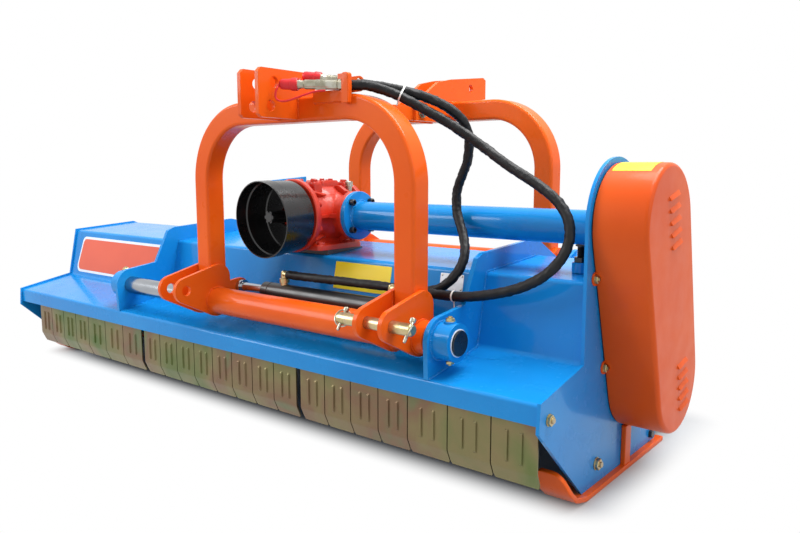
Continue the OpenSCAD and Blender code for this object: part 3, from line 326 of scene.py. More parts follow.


# gives a shape or mesh its edges, finish and body, and hides the CAD nodes that it stands for
def dress(name, made, body, finish, stands=(), edge=0.0, sharp=35, cutter=None):
    obj = newObject(name, plainMesh(name, made) if isinstance(made, dict) else made)
    if cutter:
        cut = obj.modifiers.new("cut", "BOOLEAN")
        cut.operation, cut.object, cut.solver = "DIFFERENCE", cutter, "EXACT"
        bake(obj)
    if edge:
        bevel = obj.modifiers.new("edge", "BEVEL")
        bevel.width, bevel.segments, bevel.limit_method = edge / 1000, 2, "ANGLE"
        bevel.angle_limit = math.radians(28)
        bake(obj)
        sharp = 50
    shadeSmooth(obj.data, sharp)
    obj.modifiers.new("level", "WEIGHTED_NORMAL").keep_sharp = True
    mesh = bake(obj)
    mesh.name = name
    mesh.materials.clear()
    mesh.materials.append(finishes[finish])
    mesh.polygons.foreach_set("material_index", [0] * len(mesh.polygons))
    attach(obj, body)
    if stands:
        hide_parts(*stands)
    return obj


# a piece that hangs between the deck and the carriage
def dressBetween(name, shape, finish, sharp):
    obj = newObject(name, plainMesh(name, shape))
    shadeSmooth(obj.data, sharp)
    obj.data.materials.append(finishes[finish])
    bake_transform(obj)
    return obj


# a merged copy of a CAD node, or of those of its faces whose X passes the test
def nodeCopy(node, keepIf=None):
    work = bmesh.new()
    work.from_mesh(nodes[node].data)
    bmesh.ops.remove_doubles(work, verts=work.verts, dist=0.00002)
    if keepIf:
        drop = [f for f in work.faces if not keepIf(f.calc_center_median().x * 1000 + frameX)]
        bmesh.ops.delete(work, geom=drop, context="FACES")
    bmesh.ops.dissolve_limit(work, angle_limit=math.radians(1.2), verts=work.verts, edges=work.edges)
    mesh = bpy.data.meshes.new(node + "Copy")
    work.to_mesh(mesh)
    work.free()
    return mesh


# geometry node trees
def newTree(name, sockets):
    tree = bpy.data.node_groups.new(name, "GeometryNodeTree")
    for label, kind in [("Geometry", "Geometry")] + sockets + [("Finish", "Material")]:
        tree.interface.new_socket(label, in_out="INPUT", socket_type="NodeSocket" + kind)
    tree.interface.new_socket("Geometry", in_out="OUTPUT", socket_type="NodeSocketGeometry")
    return tree, tree.nodes.new("NodeGroupInput").outputs


# every tree ends by making its copies real and giving them their finish
def closeTree(tree, start, geometry):
    real = addNode(tree, "GeometryNodeRealizeInstances", {"Geometry": geometry})
    done = addNode(tree, "GeometryNodeSetMaterial", {"Geometry": real, "Material": start["Finish"]})
    addNode(tree, "NodeGroupOutput", {"Geometry": done})
    return tree


def runTree(name, tree, mesh, values):
    obj = newObject(name, mesh)
    mod = obj.modifiers.new("build", "NODES")
    mod.node_group = tree
    for item in tree.interface.items_tree:
        if item.item_type == "SOCKET" and item.in_out == "INPUT" and item.name in values:
            mod[item.identifier] = values[item.name]
    made = bake(obj)
    bpy.data.objects.remove(obj)
    return made


# one shape set on many points: aim is its outward axis, lean turns it about that axis
def makeScatterTree():
    tree, start = newTree("scatterShape", [("Shape", "Object")])
    kinds = {"aim": "FLOAT_VECTOR", "lean": "FLOAT_VECTOR", "size": "FLOAT"}
    aim, lean, size = [addNode(tree, "GeometryNodeInputNamedAttribute", {"Name": name}, data_type=kind)
                       for name, kind in kinds.items()]
    up = addNode(tree, "FunctionNodeAlignRotationToVector", {"Vector": aim}, axis="Z")
    turned = addNode(tree, "FunctionNodeAlignRotationToVector", {"Rotation": up, "Vector": lean}, axis="X",
                     pivot_axis="Z")
    shape = addNode(tree, "GeometryNodeObjectInfo", {"Object": start["Shape"]}).outputs["Geometry"]
    return closeTree(tree, start, addNode(tree, "GeometryNodeInstanceOnPoints", {
        "Points": start["Geometry"], "Instance": shape, "Rotation": turned, "Scale": size}))


# beads of weld along a line, each a flattened drop of slightly different size
def makeBeadTree():
    tree, start = newTree("weldBeads", [("Pitch", "Float"), ("Width", "Float"), ("Seed", "Int")])
    line = addNode(tree, "GeometryNodeMeshToCurve", {"Mesh": start["Geometry"]})
    even = addNode(tree, "GeometryNodeResampleCurve", {"Curve": line, "Length": start["Pitch"]},
                   mode="LENGTH")
    drop = addNode(tree, "GeometryNodeMeshIcoSphere", {"Radius": start["Width"], "Subdivisions": 2})
    tangent = addNode(tree, "GeometryNodeInputTangent")
    turned = addNode(tree, "FunctionNodeAlignRotationToVector", {"Vector": tangent}, axis="X")
    least, most = (0.55, 0.82, 0.82), (0.8, 1.08, 1.08)
    vary = addNode(tree, "FunctionNodeRandomValue", {0: least, 1: most, "Seed": start["Seed"]},
                   data_type="FLOAT_VECTOR")
    return closeTree(tree, start, addNode(tree, "GeometryNodeInstanceOnPoints", {
        "Points": even, "Instance": drop, "Rotation": turned, "Scale": vary}))


# a square tube with rounded corners along a bent line
def makeArchTree():
    tree, start = newTree("bentTube", [("Side", "Float"), ("Corner", "Float"), ("Bend", "Float")])
    line = addNode(tree, "GeometryNodeMeshToCurve", {"Mesh": start["Geometry"]})
    side = start["Side"]
    square = addNode(tree, "GeometryNodeCurvePrimitiveQuadrilateral", {"Width": side, "Height": side})
    bent, soft = [addNode(tree, "GeometryNodeFilletCurve",
                          {"Curve": curve, "Radius": start[radius], "Count": count}, mode="POLY")
                  for curve, radius, count in ((line, "Bend", 60), (square, "Corner", 6))]
    tube = addNode(tree, "GeometryNodeCurveToMesh", {"Curve": bent, "Profile Curve": soft, "Fill Caps": True})
    return closeTree(tree, start, tube)


scatterTree, beadTree, archTree = makeScatterTree(), makeBeadTree(), makeArchTree()
print("trees:", len(bpy.data.node_groups))


# spots hold (place in mm, aim, lean, size)
def scatter(name, shapeMesh, spots, body, finish, stands=(), sharp=35):
    source = newObject(name + "Shape", shapeMesh)
    points = bpy.data.meshes.new(name + "Spots")
    points.from_pydata([at(*s[0]) for s in spots], [], [])
    for label, column in (("aim", 1), ("lean", 2)):
        layer = points.attributes.new(label, "FLOAT_VECTOR", "POINT")
        layer.data.foreach_set("vector", [c for s in spots for c in s[column]])
    points.attributes.new("size", "FLOAT", "POINT").data.foreach_set("value", [s[3] for s in spots])
    made = runTree(name, scatterTree, points, {"Shape": source, "Finish": finishes[finish]})
    bpy.data.objects.remove(source)
    return dress(name, made, body, finish, stands, sharp=sharp)


# spots on a circle about an axis, each turned differently
def boltCircle(axis, middle, r, count, first, size, way=1):
    zero = (0, 0, 0)
    aim = around(axis, zero, 0, way, 0)
    turns = [math.radians(first + 360 / count * k) for k in range(count)]
    return [(around(axis, middle, r, 0, turn), aim, around(axis, zero, 1, 0, k), size)
            for k, turn in enumerate(turns)]


def weld(name, lines, body, finish, width, seed, pitch=3.4):
    mesh = bpy.data.meshes.new(name + "Lines")
    points, edges = [], []
    for line in lines:
        edges += [(len(points) + i, len(points) + i + 1) for i in range(len(line) - 1)]
        points += [at(*p) for p in line]
    mesh.from_pydata(points, edges, [])
    made = runTree(name, beadTree, mesh, {"Pitch": pitch / 1000, "Width": width / 1000, "Seed": seed,
                                          "Finish": finishes[finish]})
    return dress(name, made, body, finish, sharp=80)


def ringLine(middle, r, steps=40):
    return [around("x", middle, r, 0, math.radians(360 * i / steps)) for i in range(steps + 1)]


# shapes to scatter, about the origin with Z outwards
def unitMesh(name, shape):
    shape["points"] = [(x + frameX, y + frameY, z) for x, y, z in shape["points"]]
    return plainMesh(name, shape)


def hexBolt(across=24.0, stud=0.0):
    shape, zero = newShape(), (0, 0, 0)
    r, head, washer = across / math.sqrt(3), across * 0.42, across * 0.62
    addTurned(shape, "z", zero, [(across * 0.6, 0), (washer, 0.6), (washer, across * 0.09),
                                 (across * 0.59, across * 0.11)], 32)
    addTurned(shape, "z", zero, [(r, across * 0.1), (r, head * 0.86), (r * 0.9, head), (r * 0.55, head)], 6)
    if stud:
        addTurned(shape, "z", zero, [(across * 0.27, head), (across * 0.27, head + stud * 0.85),
                                     (across * 0.22, head + stud)], 20)
    return unitMesh("hexBolt", shape)


def socketScrew(r=9.0, h=14.0):
    shape, sides = newShape(), 36
    turns = [360 * j / sides for j in range(sides)]
    hexed = [math.cos(math.radians(30)) / math.cos(math.radians(a % 60 - 30)) for a in turns]
    rings = []
    for size, z, flats in ((0.98 * r, 0, False), (r, 0.8, False), (r, h - 1.4, False), (r - 1.4, h, False),
                           (0.63 * r, h, True), (0.6 * r, h - 0.5, True), (0.6 * r, 0.35 * h, True)):
        wide = [size * (k if flats else 1) for k in hexed]
        rings.append([around("z", (0, 0, 0), w, z, math.radians(a)) for w, a in zip(wide, turns)])
    addRings(shape, rings)
    return unitMesh("socketScrew", shape)


def rivetHead(r=2.6, h=1.4):
    shape = newShape()
    line = [(r, 0), (r * 0.96, h * 0.4), (r * 0.75, h * 0.8), (r * 0.3, h), (0, h)]
    addTurned(shape, "z", (0, 0, 0), line, 14)
    return unitMesh("rivetHead", shape)


# sleeved hoses, laid along the same points as the CAD hoses
hoseSettings = {
    "diameter": 22.0, "swell": 0.5, "sides": 24, "parts": 10, "wrinkle": 1.7,
    "hose_long": [(595.6, 56.9, 909.1), (601.7, 60.3, 908.9), (623, 76, 903), (647, 96, 893), (671, 116, 880),
                  (693, 135, 865), (716, 154, 849), (740, 171, 833), (764, 187, 815), (789, 199, 797),
                  (815, 207, 778), (843, 210, 760), (891, 207, 730), (931, 205, 708), (970, 203, 687),
                  (1005, 202, 665), (1034, 200, 641), (1054, 196, 613), (1063, 191, 583), (1061, 184, 552),
                  (1048, 176, 522), (1026, 168, 496), (996, 160, 474), (958, 152, 456), (915, 144, 443),
                  (870, 138, 433), (826, 135, 427), (780, 135, 425), (730, 135, 425), (682, 135, 425),
                  (635.5, 135, 425)],
    "hose_short": [(595.4, 90.6, 911.6), (625, 108, 906), (654, 125, 899), (683, 144, 891), (710, 163, 880),
                   (735, 183, 866), (755, 204, 848), (768, 225, 824), (771, 240, 793), (766, 249, 760),
                   (757, 255, 732), (743, 260, 706), (729, 264, 682), (721, 266, 657), (720, 266, 631),
                   (726, 262, 606), (740, 254, 583), (756, 243, 560), (771, 229, 538), (781, 214, 516),
                   (784, 200, 494), (778, 187, 472), (761, 176, 449), (733, 169, 430), (696, 165, 423),
                   (660, 164, 423), (625, 163, 423), (580, 158, 423), (530, 153, 424), (480, 148, 424),
                   (430, 143, 425), (380, 139, 425), (335, 136, 425), (290, 135, 425), (245.5, 135, 425)],
}


def smoothRoute(route, parts):
    p = [Vector(q) for q in route]
    made = []
    for i in range(len(p) - 1):
        a, b, c, d = p[max(i - 1, 0)], p[i], p[i + 1], p[min(i + 2, len(p) - 1)]
        for k in range(parts):
            t = k / parts
            made.append(0.5 * (2 * b + (c - a) * t + (2 * a - 5 * b + 4 * c - d) * t * t
                               + (3 * b - a - 3 * c + d) * t ** 3))
    return made + [p[-1]]


def makeHose(name):
    path = smoothRoute(hoseSettings[name], hoseSettings["parts"])
    base = hoseSettings["diameter"] / 2 + hoseSettings["swell"]

    def radius(run, turn):
        spot = Vector((run * 0.1, 1.5 * math.cos(turn), 1.5 * math.sin(turn)))
        fold = noise.noise(spot + Vector((0, 0, 7.0))) * 0.9 + noise.noise(spot * 2.3) * 0.5
        return base + hoseSettings["wrinkle"] * max(-1.0, min(0.55, fold))

    shape = newShape()
    addSwept(shape, path, radius, hoseSettings["sides"])
    obj = dressBetween(name + "Sleeve", shape, "sleeve", 60)
    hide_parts(name)
    line = [at(*p) for p in path]
    length = sum((b - a).length for a, b in zip(line, line[1:]))
    return length


print("hoses:", [round(makeHose(n), 3) for n in ("hose_long", "hose_short")], "m")

# folded hood sheet with the two hangers of the flap rod; sideX is the outer face of the side plates
hood = {"line": [(0, 217), (0, 262), (195, 300), (230, 474), (480, 492), (640, 425), (655, 330)],
        "folds": [0, 9, 14, 12, 16, 14, 0], "t": 5, "half": 1100, "sideX": 1108, "rod": (30, 226),
        "parts": 24, "hangerHalf": 3, "hanger": [(5.5, 237), (16, 216), (44, 216), (54, 267), (5.5, 258)]}
flapRow = {"count": 22, "left": 96, "right": 7, "groupGap": 14, "gap": 2, "wide": (4, 5, 6, 19, 20, 21),
           "wideRatio": 1.26, "gapBefore": (7, 15)}


def flapPlaces():
    ratio = [flapRow["wideRatio"] if i in flapRow["wide"] else 1.0 for i in range(flapRow["count"])]
    groupGaps = len(flapRow["gapBefore"]) * flapRow["groupGap"]
    unit = (2 * hood["half"] - flapRow["left"] - flapRow["right"] - groupGaps) / sum(ratio)
    x, made = -hood["half"] + flapRow["left"], []
    for i, r in enumerate(ratio):
        x += flapRow["groupGap"] if i in flapRow["gapBefore"] else 0
        made.append((x, r * unit - flapRow["gap"]))
        x += r * unit
    return made


flaps = flapPlaces()


def makeHood():
    outer = rounded(hood["line"], hood["folds"], 6, closed=False)
    inner = offsetLine(outer, hood["t"])
    shape = newShape()
    xs = [-hood["half"] + 2 * hood["half"] * i / hood["parts"] for i in range(hood["parts"] + 1)]
    addRings(shape, [[(x, y, z) for y, z in outer + inner[::-1]] for x in xs])
    for i in flapRow["gapBefore"]:
        middle = flaps[i][0] - flapRow["gap"] / 2 - flapRow["groupGap"] / 2
        addSlab(shape, hood["hanger"], middle - hood["hangerHalf"], middle + hood["hangerHalf"])
    dress("hoodSheet", shape, "deck", "blue", ["hood_shell"], sharp=24)


makeHood()

# CAD nodes that get softened copies (body, finish, edge), and the finishes of those that stay
copies = {"right_side_plate": ("deck", "blue", 1.6), "left_side_plate": ("deck", "blue", 1.6),
          "support_ribs": ("deck", "blue", 1.8), "roller_arms": ("deck", "blue", 1.6),
          "rear_door": ("door", "blue", 1.0), "lower_lugs": ("carriage", "orange", 1.8),
          "mast_plates": ("carriage", "orange", 1.8), "mast_strut": ("carriage", "orange", 3.0),
          "coupler_bracket": ("carriage", "orange", 1.2), "rotor_drum": ("rotor", "grey", 1.2),
          "hammers": ("rotor", "iron", 2.0), "rear_roller": ("roller", "grey", 1.5),
          "cylinder_rod": ("carriage", "bright", 1.0)}
stays = {"drive_belts": "rubber", "drive_shaft": "bright", "upper_pulley": "iron", "lower_pulley": "iron"}
for node, (body, finish, edge) in copies.items():
    words = node.split("_")
    dress(words[0] + "".join(w.title() for w in words[1:]), nodeCopy(node), body, finish, [node], edge=edge)
for node, finish in stays.items():
    nodes[node].data.materials.clear()
    nodes[node].data.materials.append(finishes[finish])
print("copies done")

# skids: a strip that curls up in front to a rounded tongue, and its upright strap
skid = {"path": [(190, 0), (140, 14), (106, 43), (91, 88)], "bends": [70, 46, 60, 0], "t": 12,
        "x": (1048, 1123), "outerTip": (40, 62), "innerTip": (12, 14), "strap": (405, 439, 11, 110),
        "strapX": (1108, 1120), "tipParts": 10}


# how far the strip's edge draws in at a distance from its tip
def tipDraw(tip, away):
    deep, long = tip
    return deep * (1 - math.sqrt(max(0.0, 1 - max(0.0, 1 - away / long) ** 2)))


def makeSkids():
    shape = newShape()
    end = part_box("skids")[1][1] * 1000 + frameY
    line = [Vector(p) for p in rounded([(end, 0)] + skid["path"], [0] + skid["bends"], 7, closed=False)]
    last, tip, parts = line[-2], line[-1], skid["tipParts"]
    line = line[:-1] + [last.lerp(tip, k / parts) for k in range(1, parts + 1)]
    top = offsetLine(line, skid["t"])
    left = [0.0]
    for a, b in zip(line[::-1], line[-2::-1]):
        left.insert(0, left[0] + (a - b).length)
    x0, x1 = skid["x"]
    y0, y1, z0, z1 = skid["strap"]
    for way in (-1, 1):
        rings = []
        for low, high, away in zip(line, top, left):
            outer = way * (x1 - tipDraw(skid["outerTip"], away))
            inner = way * (x0 + tipDraw(skid["innerTip"], away))
            rings.append([(inner, *low), (outer, *low), (outer, *high), (inner, *high)])
        addRings(shape, rings)
        addSlab(shape, [(y0, z0), (y1, z0), (y1, z1), (y0, z1)], *[way * x for x in skid["strapX"]])
    dress("skidBars", shape, "deck", "orange", ["skids"], edge=2.2)


makeSkids()

# slide bars and the caps on their ends
bars = {"front": (50, 342), "rear": (725, 432), "x": (-462, 873), "r": 27.5, "capR": 29.5}
barPlaces = (bars["front"], bars["rear"])


def makeBars():
    steel, rings, caps = newShape(), newShape(), newShape()
    (x0, x1), r, c = bars["x"], bars["r"], bars["capR"]
    for y, z in barPlaces:
        addTurned(steel, "x", (0, y, z), [(r - 2, x0), (r, x0 + 2), (r, x1 - 2), (r - 2, x1)], 56)
        for x, way in ((x0 - 5, -1), (x1 + 5, 1)):
            addTurned(rings, "x", (x, y, z), [(c - 1, 0), (c + 1.6, 0), (c + 1.6, way), (c + 1, way * 1.6),
                                              (c - 1, way * 1.6)], 48, loop=True)
            addTurned(caps, "x", (x, y, z), [(c - 0.8, 0), (c - 0.8, way * 4.6), (c - 2.2, way * 6),
                                             (c - 6, way * 6), (c - 7, way * 5.6), (0, way * 5.6)], 48)
    dress("slideBars", steel, "deck", "bar", ["slide_bars"])
    dress("capRings", rings, "deck", "pale")
    dress("barCaps", caps, "deck", "plastic")


makeBars()

# carriage arches, each with its Y and top, and the slide tubes that they stand on
arches = {"side": 60, "corner": 9, "bend": 180, "legs": (-3, 735), "legLift": 9.5, "front": (65, 892),
          "rear": (710, 925), "sleeveR": 38, "boreR": 27.6, "sleeveX": (-45, 806), "cutX": (-200, 1000),
          "seatR": 33, "seat": 4, "wiper": ((27.7, 0), (32.6, 0), (32.6, 3), (30, 3.6), (27.7, 3.2))}


def makeArch(end):
    name, (y, top), (barY, barZ) = end + "Arch", arches[end], bars[end]
    foot, z = barZ + arches["legLift"], top - arches["side"] / 2
    a, b = arches["legs"]
    line = bpy.data.meshes.new(name + "Line")
    line.from_pydata([at(a, y, foot), at(a, y, z), at(b, y, z), at(b, y, foot)], [(0, 1), (1, 2), (2, 3)], [])
    sizes = {key.title(): arches[key] / 1000 for key in ("side", "corner", "bend")}
    made = runTree(name, archTree, line, {**sizes, "Finish": finishes["orange"]})
    shape, r = newShape(), arches["sleeveR"] + 0.1
    addTurned(shape, "x", (0, barY, barZ), [(r, x) for x in arches["cutX"]], 64)
    cutter = newObject("cutter", plainMesh("cutter", shape))
    dress(name, made, "carriage", "orange", [end + "_arch"], sharp=30, cutter=cutter)
    bpy.data.objects.remove(cutter)


def makeSleeves():
    shape, wipers = newShape(), newShape()
    (x0, x1), r, bore, seat = arches["sleeveX"], arches["sleeveR"], arches["boreR"], arches["seatR"]
    in0, in1 = x0 + arches["seat"], x1 - arches["seat"]
    line = [(bore, in0), (seat, in0), (seat, x0), (r - 1.5, x0), (r, x0 + 1.5),
            (r, x1 - 1.5), (r - 1.5, x1), (seat, x1), (seat, in1), (bore, in1)]
    for y, z in barPlaces:
        addTurned(shape, "x", (0, y, z), line, 56, loop=True)
        for x, way in ((in0, -1), (in1, 1)):
            addTurned(wipers, "x", (x, y, z), [(a, way * d) for a, d in arches["wiper"]], 48, loop=True)
    dress("slideTubes", shape, "carriage", "orange", ["slide_tubes"])
    dress("tubeWipers", wipers, "carriage", "plastic")


makeArch("front")
makeArch("rear")
makeSleeves()
print("carriage done")

# belt cover: a drawn shell around both pulleys, on a dark seal, with stamped louvres
cover = {"top": (330, 597), "low": (433, 237), "topR": 134, "lowR": 125, "x": (1111, 1228), "edge": 10,
         "wall": 3, "louvre": (30, 5.0, 5.6), "perRow": 5,
         "seal": ((1108.2, 2.0), (1108.2, 8.0), (1111.2, 8.0), (1111.2, 2.0)),
         "rows": ((338, 662, 7.7, -26.5, (0, 0.97, 0.24)), (446.5, 275.5, 5.9, -26, (0, 0.98, 0.18)))}


def beltOutline(inset, steps=36, straight=10):
    (y1, z1), (y2, z2) = cover["top"], cover["low"]
    r1, r2 = cover["topR"] - inset, cover["lowR"] - inset
    turn = math.atan2(z2 - z1, y2 - y1)
    lean = math.acos((r1 - r2) / math.hypot(y2 - y1, z2 - z1))

    def arc(y, z, r, first, sweep):
        turns = [first + sweep * i / steps for i in range(steps + 1)]
        return [(y + r * math.cos(a), z + r * math.sin(a)) for a in turns]

    def between(p, q):
        return [tuple(a + (b - a) * k / straight for a, b in zip(p, q)) for k in range(1, straight)]

    ring = arc(y1, z1, r1, turn + lean, 2 * math.pi - 2 * lean)
    low = arc(y2, z2, r2, turn - lean, 2 * lean)
    return ring + between(ring[-1], low[0]) + low + between(low[-1], ring[0])


def beltRings(profile):
    return [[(x, y, z) for y, z in beltOutline(inset)] for x, inset in profile]


def makeCover():
    shape, seal, louvre = newShape(), newShape(), newShape()
    (x0, x1), e, w = cover["x"], cover["edge"], cover["wall"]
    bend = [(x1 - e + e * s, e * (1 - c)) for c, s in [polar(9 * k) for k in range(11)]]
    inside = [(x1 - w, e + 4), (x1 - e, w), (x0, w), (x0, 0.8), (x0 + 0.8, 0)]
    addRings(shape, beltRings(inside + bend + [(x1, e + 12)]))
    dress("beltCover", shape, "deck", "cover", ["belt_cover"], sharp=40)
    addRings(seal, beltRings(cover["seal"]), loop=True)
    dress("coverSeal", seal, "deck", "rubber")
    # a louvre: raised along its open lower lip, flush along the upper edge
    long, wide, high = cover["louvre"]
    rows = []
    for u, k in ((-1, 0.0), (-0.97, 0.75), (-0.9, 1.0), (0, 1.0), (0.9, 1.0), (0.97, 0.75), (1, 0.0)):
        x, rise = long * u, high * k
        rows.append([(x, wide, -0.5), (x, wide - 0.4, 0.2 * k), (x, -wide * 0.72, rise * 0.94),
                     (x, -wide * 0.86, rise), (x, -wide, rise * 0.9), (x, -wide, -0.5)])
    addRings(louvre, rows)
    spots = []
    for y, z, stepY, stepZ, lean in cover["rows"]:
        spots += [((x1, y + stepY * i, z + stepZ * i), (1, 0, 0), lean, 1.0)
                  for i in range(cover["perRow"])]
    scatter("coverLouvres", unitMesh("louvre", louvre), spots, "deck", "cover", sharp=30)


makeCover()
print("cover done")

# gearbox casting; driveY is the cross shaft, a pad has its Y, half sizes and top
gearbox = {"x": 210, "y": (185, 405), "z": 585, "driveY": 320, "flangeR": 104, "rearR": 94, "boltR": 90,
           "rearBoltR": 78, "footZ": 489, "footMiddle": 295, "feet": ((136, 284), (226, 364)),
           "pads": ((246, 46, 17, 680), (368, 46, 16, 678), (308, 36, 36, 684)), "padFoot": 630,
           "padBoltX": 30, "padBoltR": 25, "footBolt": 14, "plug": (258, 372, 646), "stayX": 110}


def makeGearbox():
    shape, plug = newShape(), newShape()
    x, z, foot = gearbox["x"], gearbox["z"], gearbox["footZ"]
    (y0, y1), r, q = gearbox["y"], gearbox["flangeR"], gearbox["rearR"]
    alongY, alongX = (x, 0, z), (0, gearbox["driveY"], z)
    case = [(22.3, y0), (r - 3, y0), (r, y0 + 3), (r, y0 + 15), (r - 3, y0 + 19), (88, y0 + 21),
            (79, y0 + 27), (79, 252), (85, 262), (90, 278), (90, 358), (86, 370), (82, 378), (84, 384),
            (q - 2, 387), (q, 390), (q, y1 - 3), (q - 3, y1), (22.3, y1)]
    addTurned(shape, "y", alongY, case, 64, loop=True)
    # neck to the drive tube's flange with four webs, and ribs between the front flange and the belly
    neck = [(17.7, 240), (76, 250), (70, 268), (60, 285), (54, 300), (54, 312), (60, 318), (67, 319.5),
            (69, 321.5), (69, 333.5), (67.5, 335), (17.7, 335)]
    addTurned(shape, "x", alongX, neck, 56, loop=True)
    web = [(255, 40), (320, 40), (320, 66), (296, 70), (272, 84), (255, 84)]
    addWebs(shape, "x", alongX, range(0, 360, 90), 6, web)
    rib = [(y0 + 16, 70), (262, 70), (262, 85), (250, 87), (y0 + 24, 98), (y0 + 16, 98)]
    addWebs(shape, "y", alongY, range(0, 360, 45), 4, rib)
    # pedestal, feet and top pads
    square, middle = [(-1, -1), (1, -1), (1, 1), (-1, 1)], gearbox["footMiddle"]
    steps = ((0, 90, 89.5), (12, 90, 89.5), (15, 88, 88), (19, 64, 80), (40, 52, 72), (100, 48, 68))
    addRings(shape, [[(x + a * w, middle + b * d, foot + h) for a, b in rounded(square, 0.16, 4)]
                     for h, w, d in steps])
    for y, wide, deep, top in gearbox["pads"]:
        steps = ((gearbox["padFoot"], 1.1), (top - 9, 1.04), (top - 3, 1.0), (top, 0.94))
        addRings(shape, [[(x + a * wide * k, y + b * deep * k, h) for a, b in rounded(square, 0.3, 4)]
                         for h, k in steps])
    # bolt bosses behind the rim of the front flange, and all bolts
    spots = boltCircle("y", (x, y0 + 25, z), gearbox["boltR"], 8, 22.5, 0.72)
    for spot in spots:
        addTurned(shape, "y", spot[0], [(11, -9), (11.5, -7), (11.5, -2), (10.5, 0)], 18)
    dress("gearboxCase", shape, "deck", "casting", ["gearbox_case"], sharp=38)
    spots += boltCircle("y", (x, y1, z), gearbox["rearBoltR"], 8, 22.5, 0.66)
    for y, wide, deep, top in gearbox["pads"][:2]:
        spots += [((px, y, top), (0, 0, 1), (math.cos(px), math.sin(px), 0), 0.8)
                  for px in (x - gearbox["padBoltX"], x + gearbox["padBoltX"])]
    y, wide, deep, top = gearbox["pads"][2]
    spots += boltCircle("z", (x, y, top), gearbox["padBoltR"], 4, 45, 0.5)
    xs, ys = gearbox["feet"]
    spots += [((px, y, foot + gearbox["footBolt"]), (0, 0, 1), (math.cos(y), math.sin(y), 0), 0.8)
              for px in xs for y in ys]
    scatter("gearboxBolts", hexBolt(), spots, "deck", "casting")
    stem = [(10, 0), (10, 20), (14, 20), (14, 23), (12, 24), (12, 33), (10.5, 35), (6, 35.5), (0, 35.5)]
    addTurned(plug, "z", gearbox["plug"], stem, 24)
    dress("breatherPlug", plug, "deck", "coupler")


makeGearbox()
for name, finish, stands, keepIf in (
        ("gearboxStay", "blue", (), lambda x: x < gearbox["stayX"]),
        ("gearboxBase", "grey", ["gearbox_saddle"], lambda x: x > gearbox["stayX"])):
    dress(name, nodeCopy("gearbox_saddle", keepIf), "deck", finish, stands, edge=1.5)

# drive tube, its flange screws and the shaft shields
shields = {"start": (210, 179.15, 585), "way": (0, -0.99863, -0.05234), "r": 106, "len": 107,
           "rearR": 45, "rearLen": 48}
shaft = {"stubs": ((101, 184.5), (405.5, 489)), "splines": 6, "flangeX": 351, "screwR": 55,
         "tooth": ((13, -4.2), (16.6, -4.2), (17.3, -3.4), (17.3, 3.4), (16.6, 4.2), (13, 4.2))}


def makeDrive():
    tube, cups, turned = newShape(), newShape(), newShape()
    x, y, z = gearbox["x"], gearbox["driveY"], gearbox["z"]
    line = [(35, 335), (67, 335), (69, 337), (69, 349), (67.5, 351), (48, 351), (43.5, 353), (40.6, 357),
            (40, 361), (40, 1100), (35, 1100)]
    addTurned(tube, "x", (0, y, z), line, 64, loop=True)
    dress("driveTube", tube, "deck", "blue", ["drive_tube"], sharp=40)
    spots = boltCircle("x", (shaft["flangeX"], y, z), shaft["screwR"], 4, 45, 1.0)
    scatter("flangeScrews", socketScrew(), spots, "deck", "black", ["flange_screws"])
    r, n = shields["r"], shields["len"]
    line = [(33, 0.3), (r - 9, 0.3), (r - 6, 3), (r - 4, n * 0.3), (r - 3.4, n * 0.64), (r - 0.6, n * 0.66),
            (r - 0.3, n - 4), (r, n - 3), (r, n - 0.8), (r - 1, n), (r - 3, n), (r - 3.6, n - 2),
            (r - 3.4, n * 0.69), (r - 6.4, n * 0.66), (r - 7, n * 0.3), (r - 9, 6), (r - 12, 3.3), (33, 3.3)]
    addTurnedTo(cups, shields["start"], shields["way"], line, 72, loop=True)
    addTurned(cups, "y", (x, 0, z), [(35.2, 174), (38, 174), (38, 185), (35.2, 185)], 40, loop=True)
    r, n = shields["rearR"], shields["rearLen"]
    line = [(32, 0.2), (r, 0.2), (r, 4), (r - 1.5, 8), (r - 1.5, n - 6), (r, n - 4), (r, n - 1), (r - 1, n),
            (r - 3.5, n), (r - 4.5, n - 3), (r - 4.5, 4), (32, 3.2)]
    addTurned(cups, "y", (x, gearbox["y"][1], z), line, 56, loop=True)
    dress("shaftShields", cups, "deck", "plastic", ["shaft_shields"], sharp=40)
    line = [(0, 100), (12.6, 100), (14.4, 102), (14.4, 185), (22, 185), (22, 343.8), (46.4, 343.8),
            (71.6, 356.4), (62, 356.4), (62, 376.4), (22, 376.4), (22, 405), (14.4, 405), (14.4, 488),
            (12.6, 490), (0, 490)]
    addTurned(turned, "y", (x, 0, z), line, 40)
    for k in range(shaft["splines"]):
        c, s = polar(360 / shaft["splines"] * k)
        tooth = [(x + c * q - s * d, z + s * q + c * d) for q, d in shaft["tooth"]]
        for y0, y1 in shaft["stubs"]:
            addSlab(turned, tooth, y0, y1, axis="y")
    dress("inputShaft", turned, "input", "black", ["input_shaft"])


makeDrive()
print("drive done")

# front flaps: a sheet rolled round the rod, kicked back at the tip, with two plain pressed ribs
flapSettings = {"t": 4.0, "length": 152.0, "tip": 34.0, "kick": 15.0, "rodR": 6.1, "rib": 3.4, "ribW": 5.0,
                "ribEnds": (36, 106), "ribAt": 0.16, "ease": 0.4, "corner": 7}


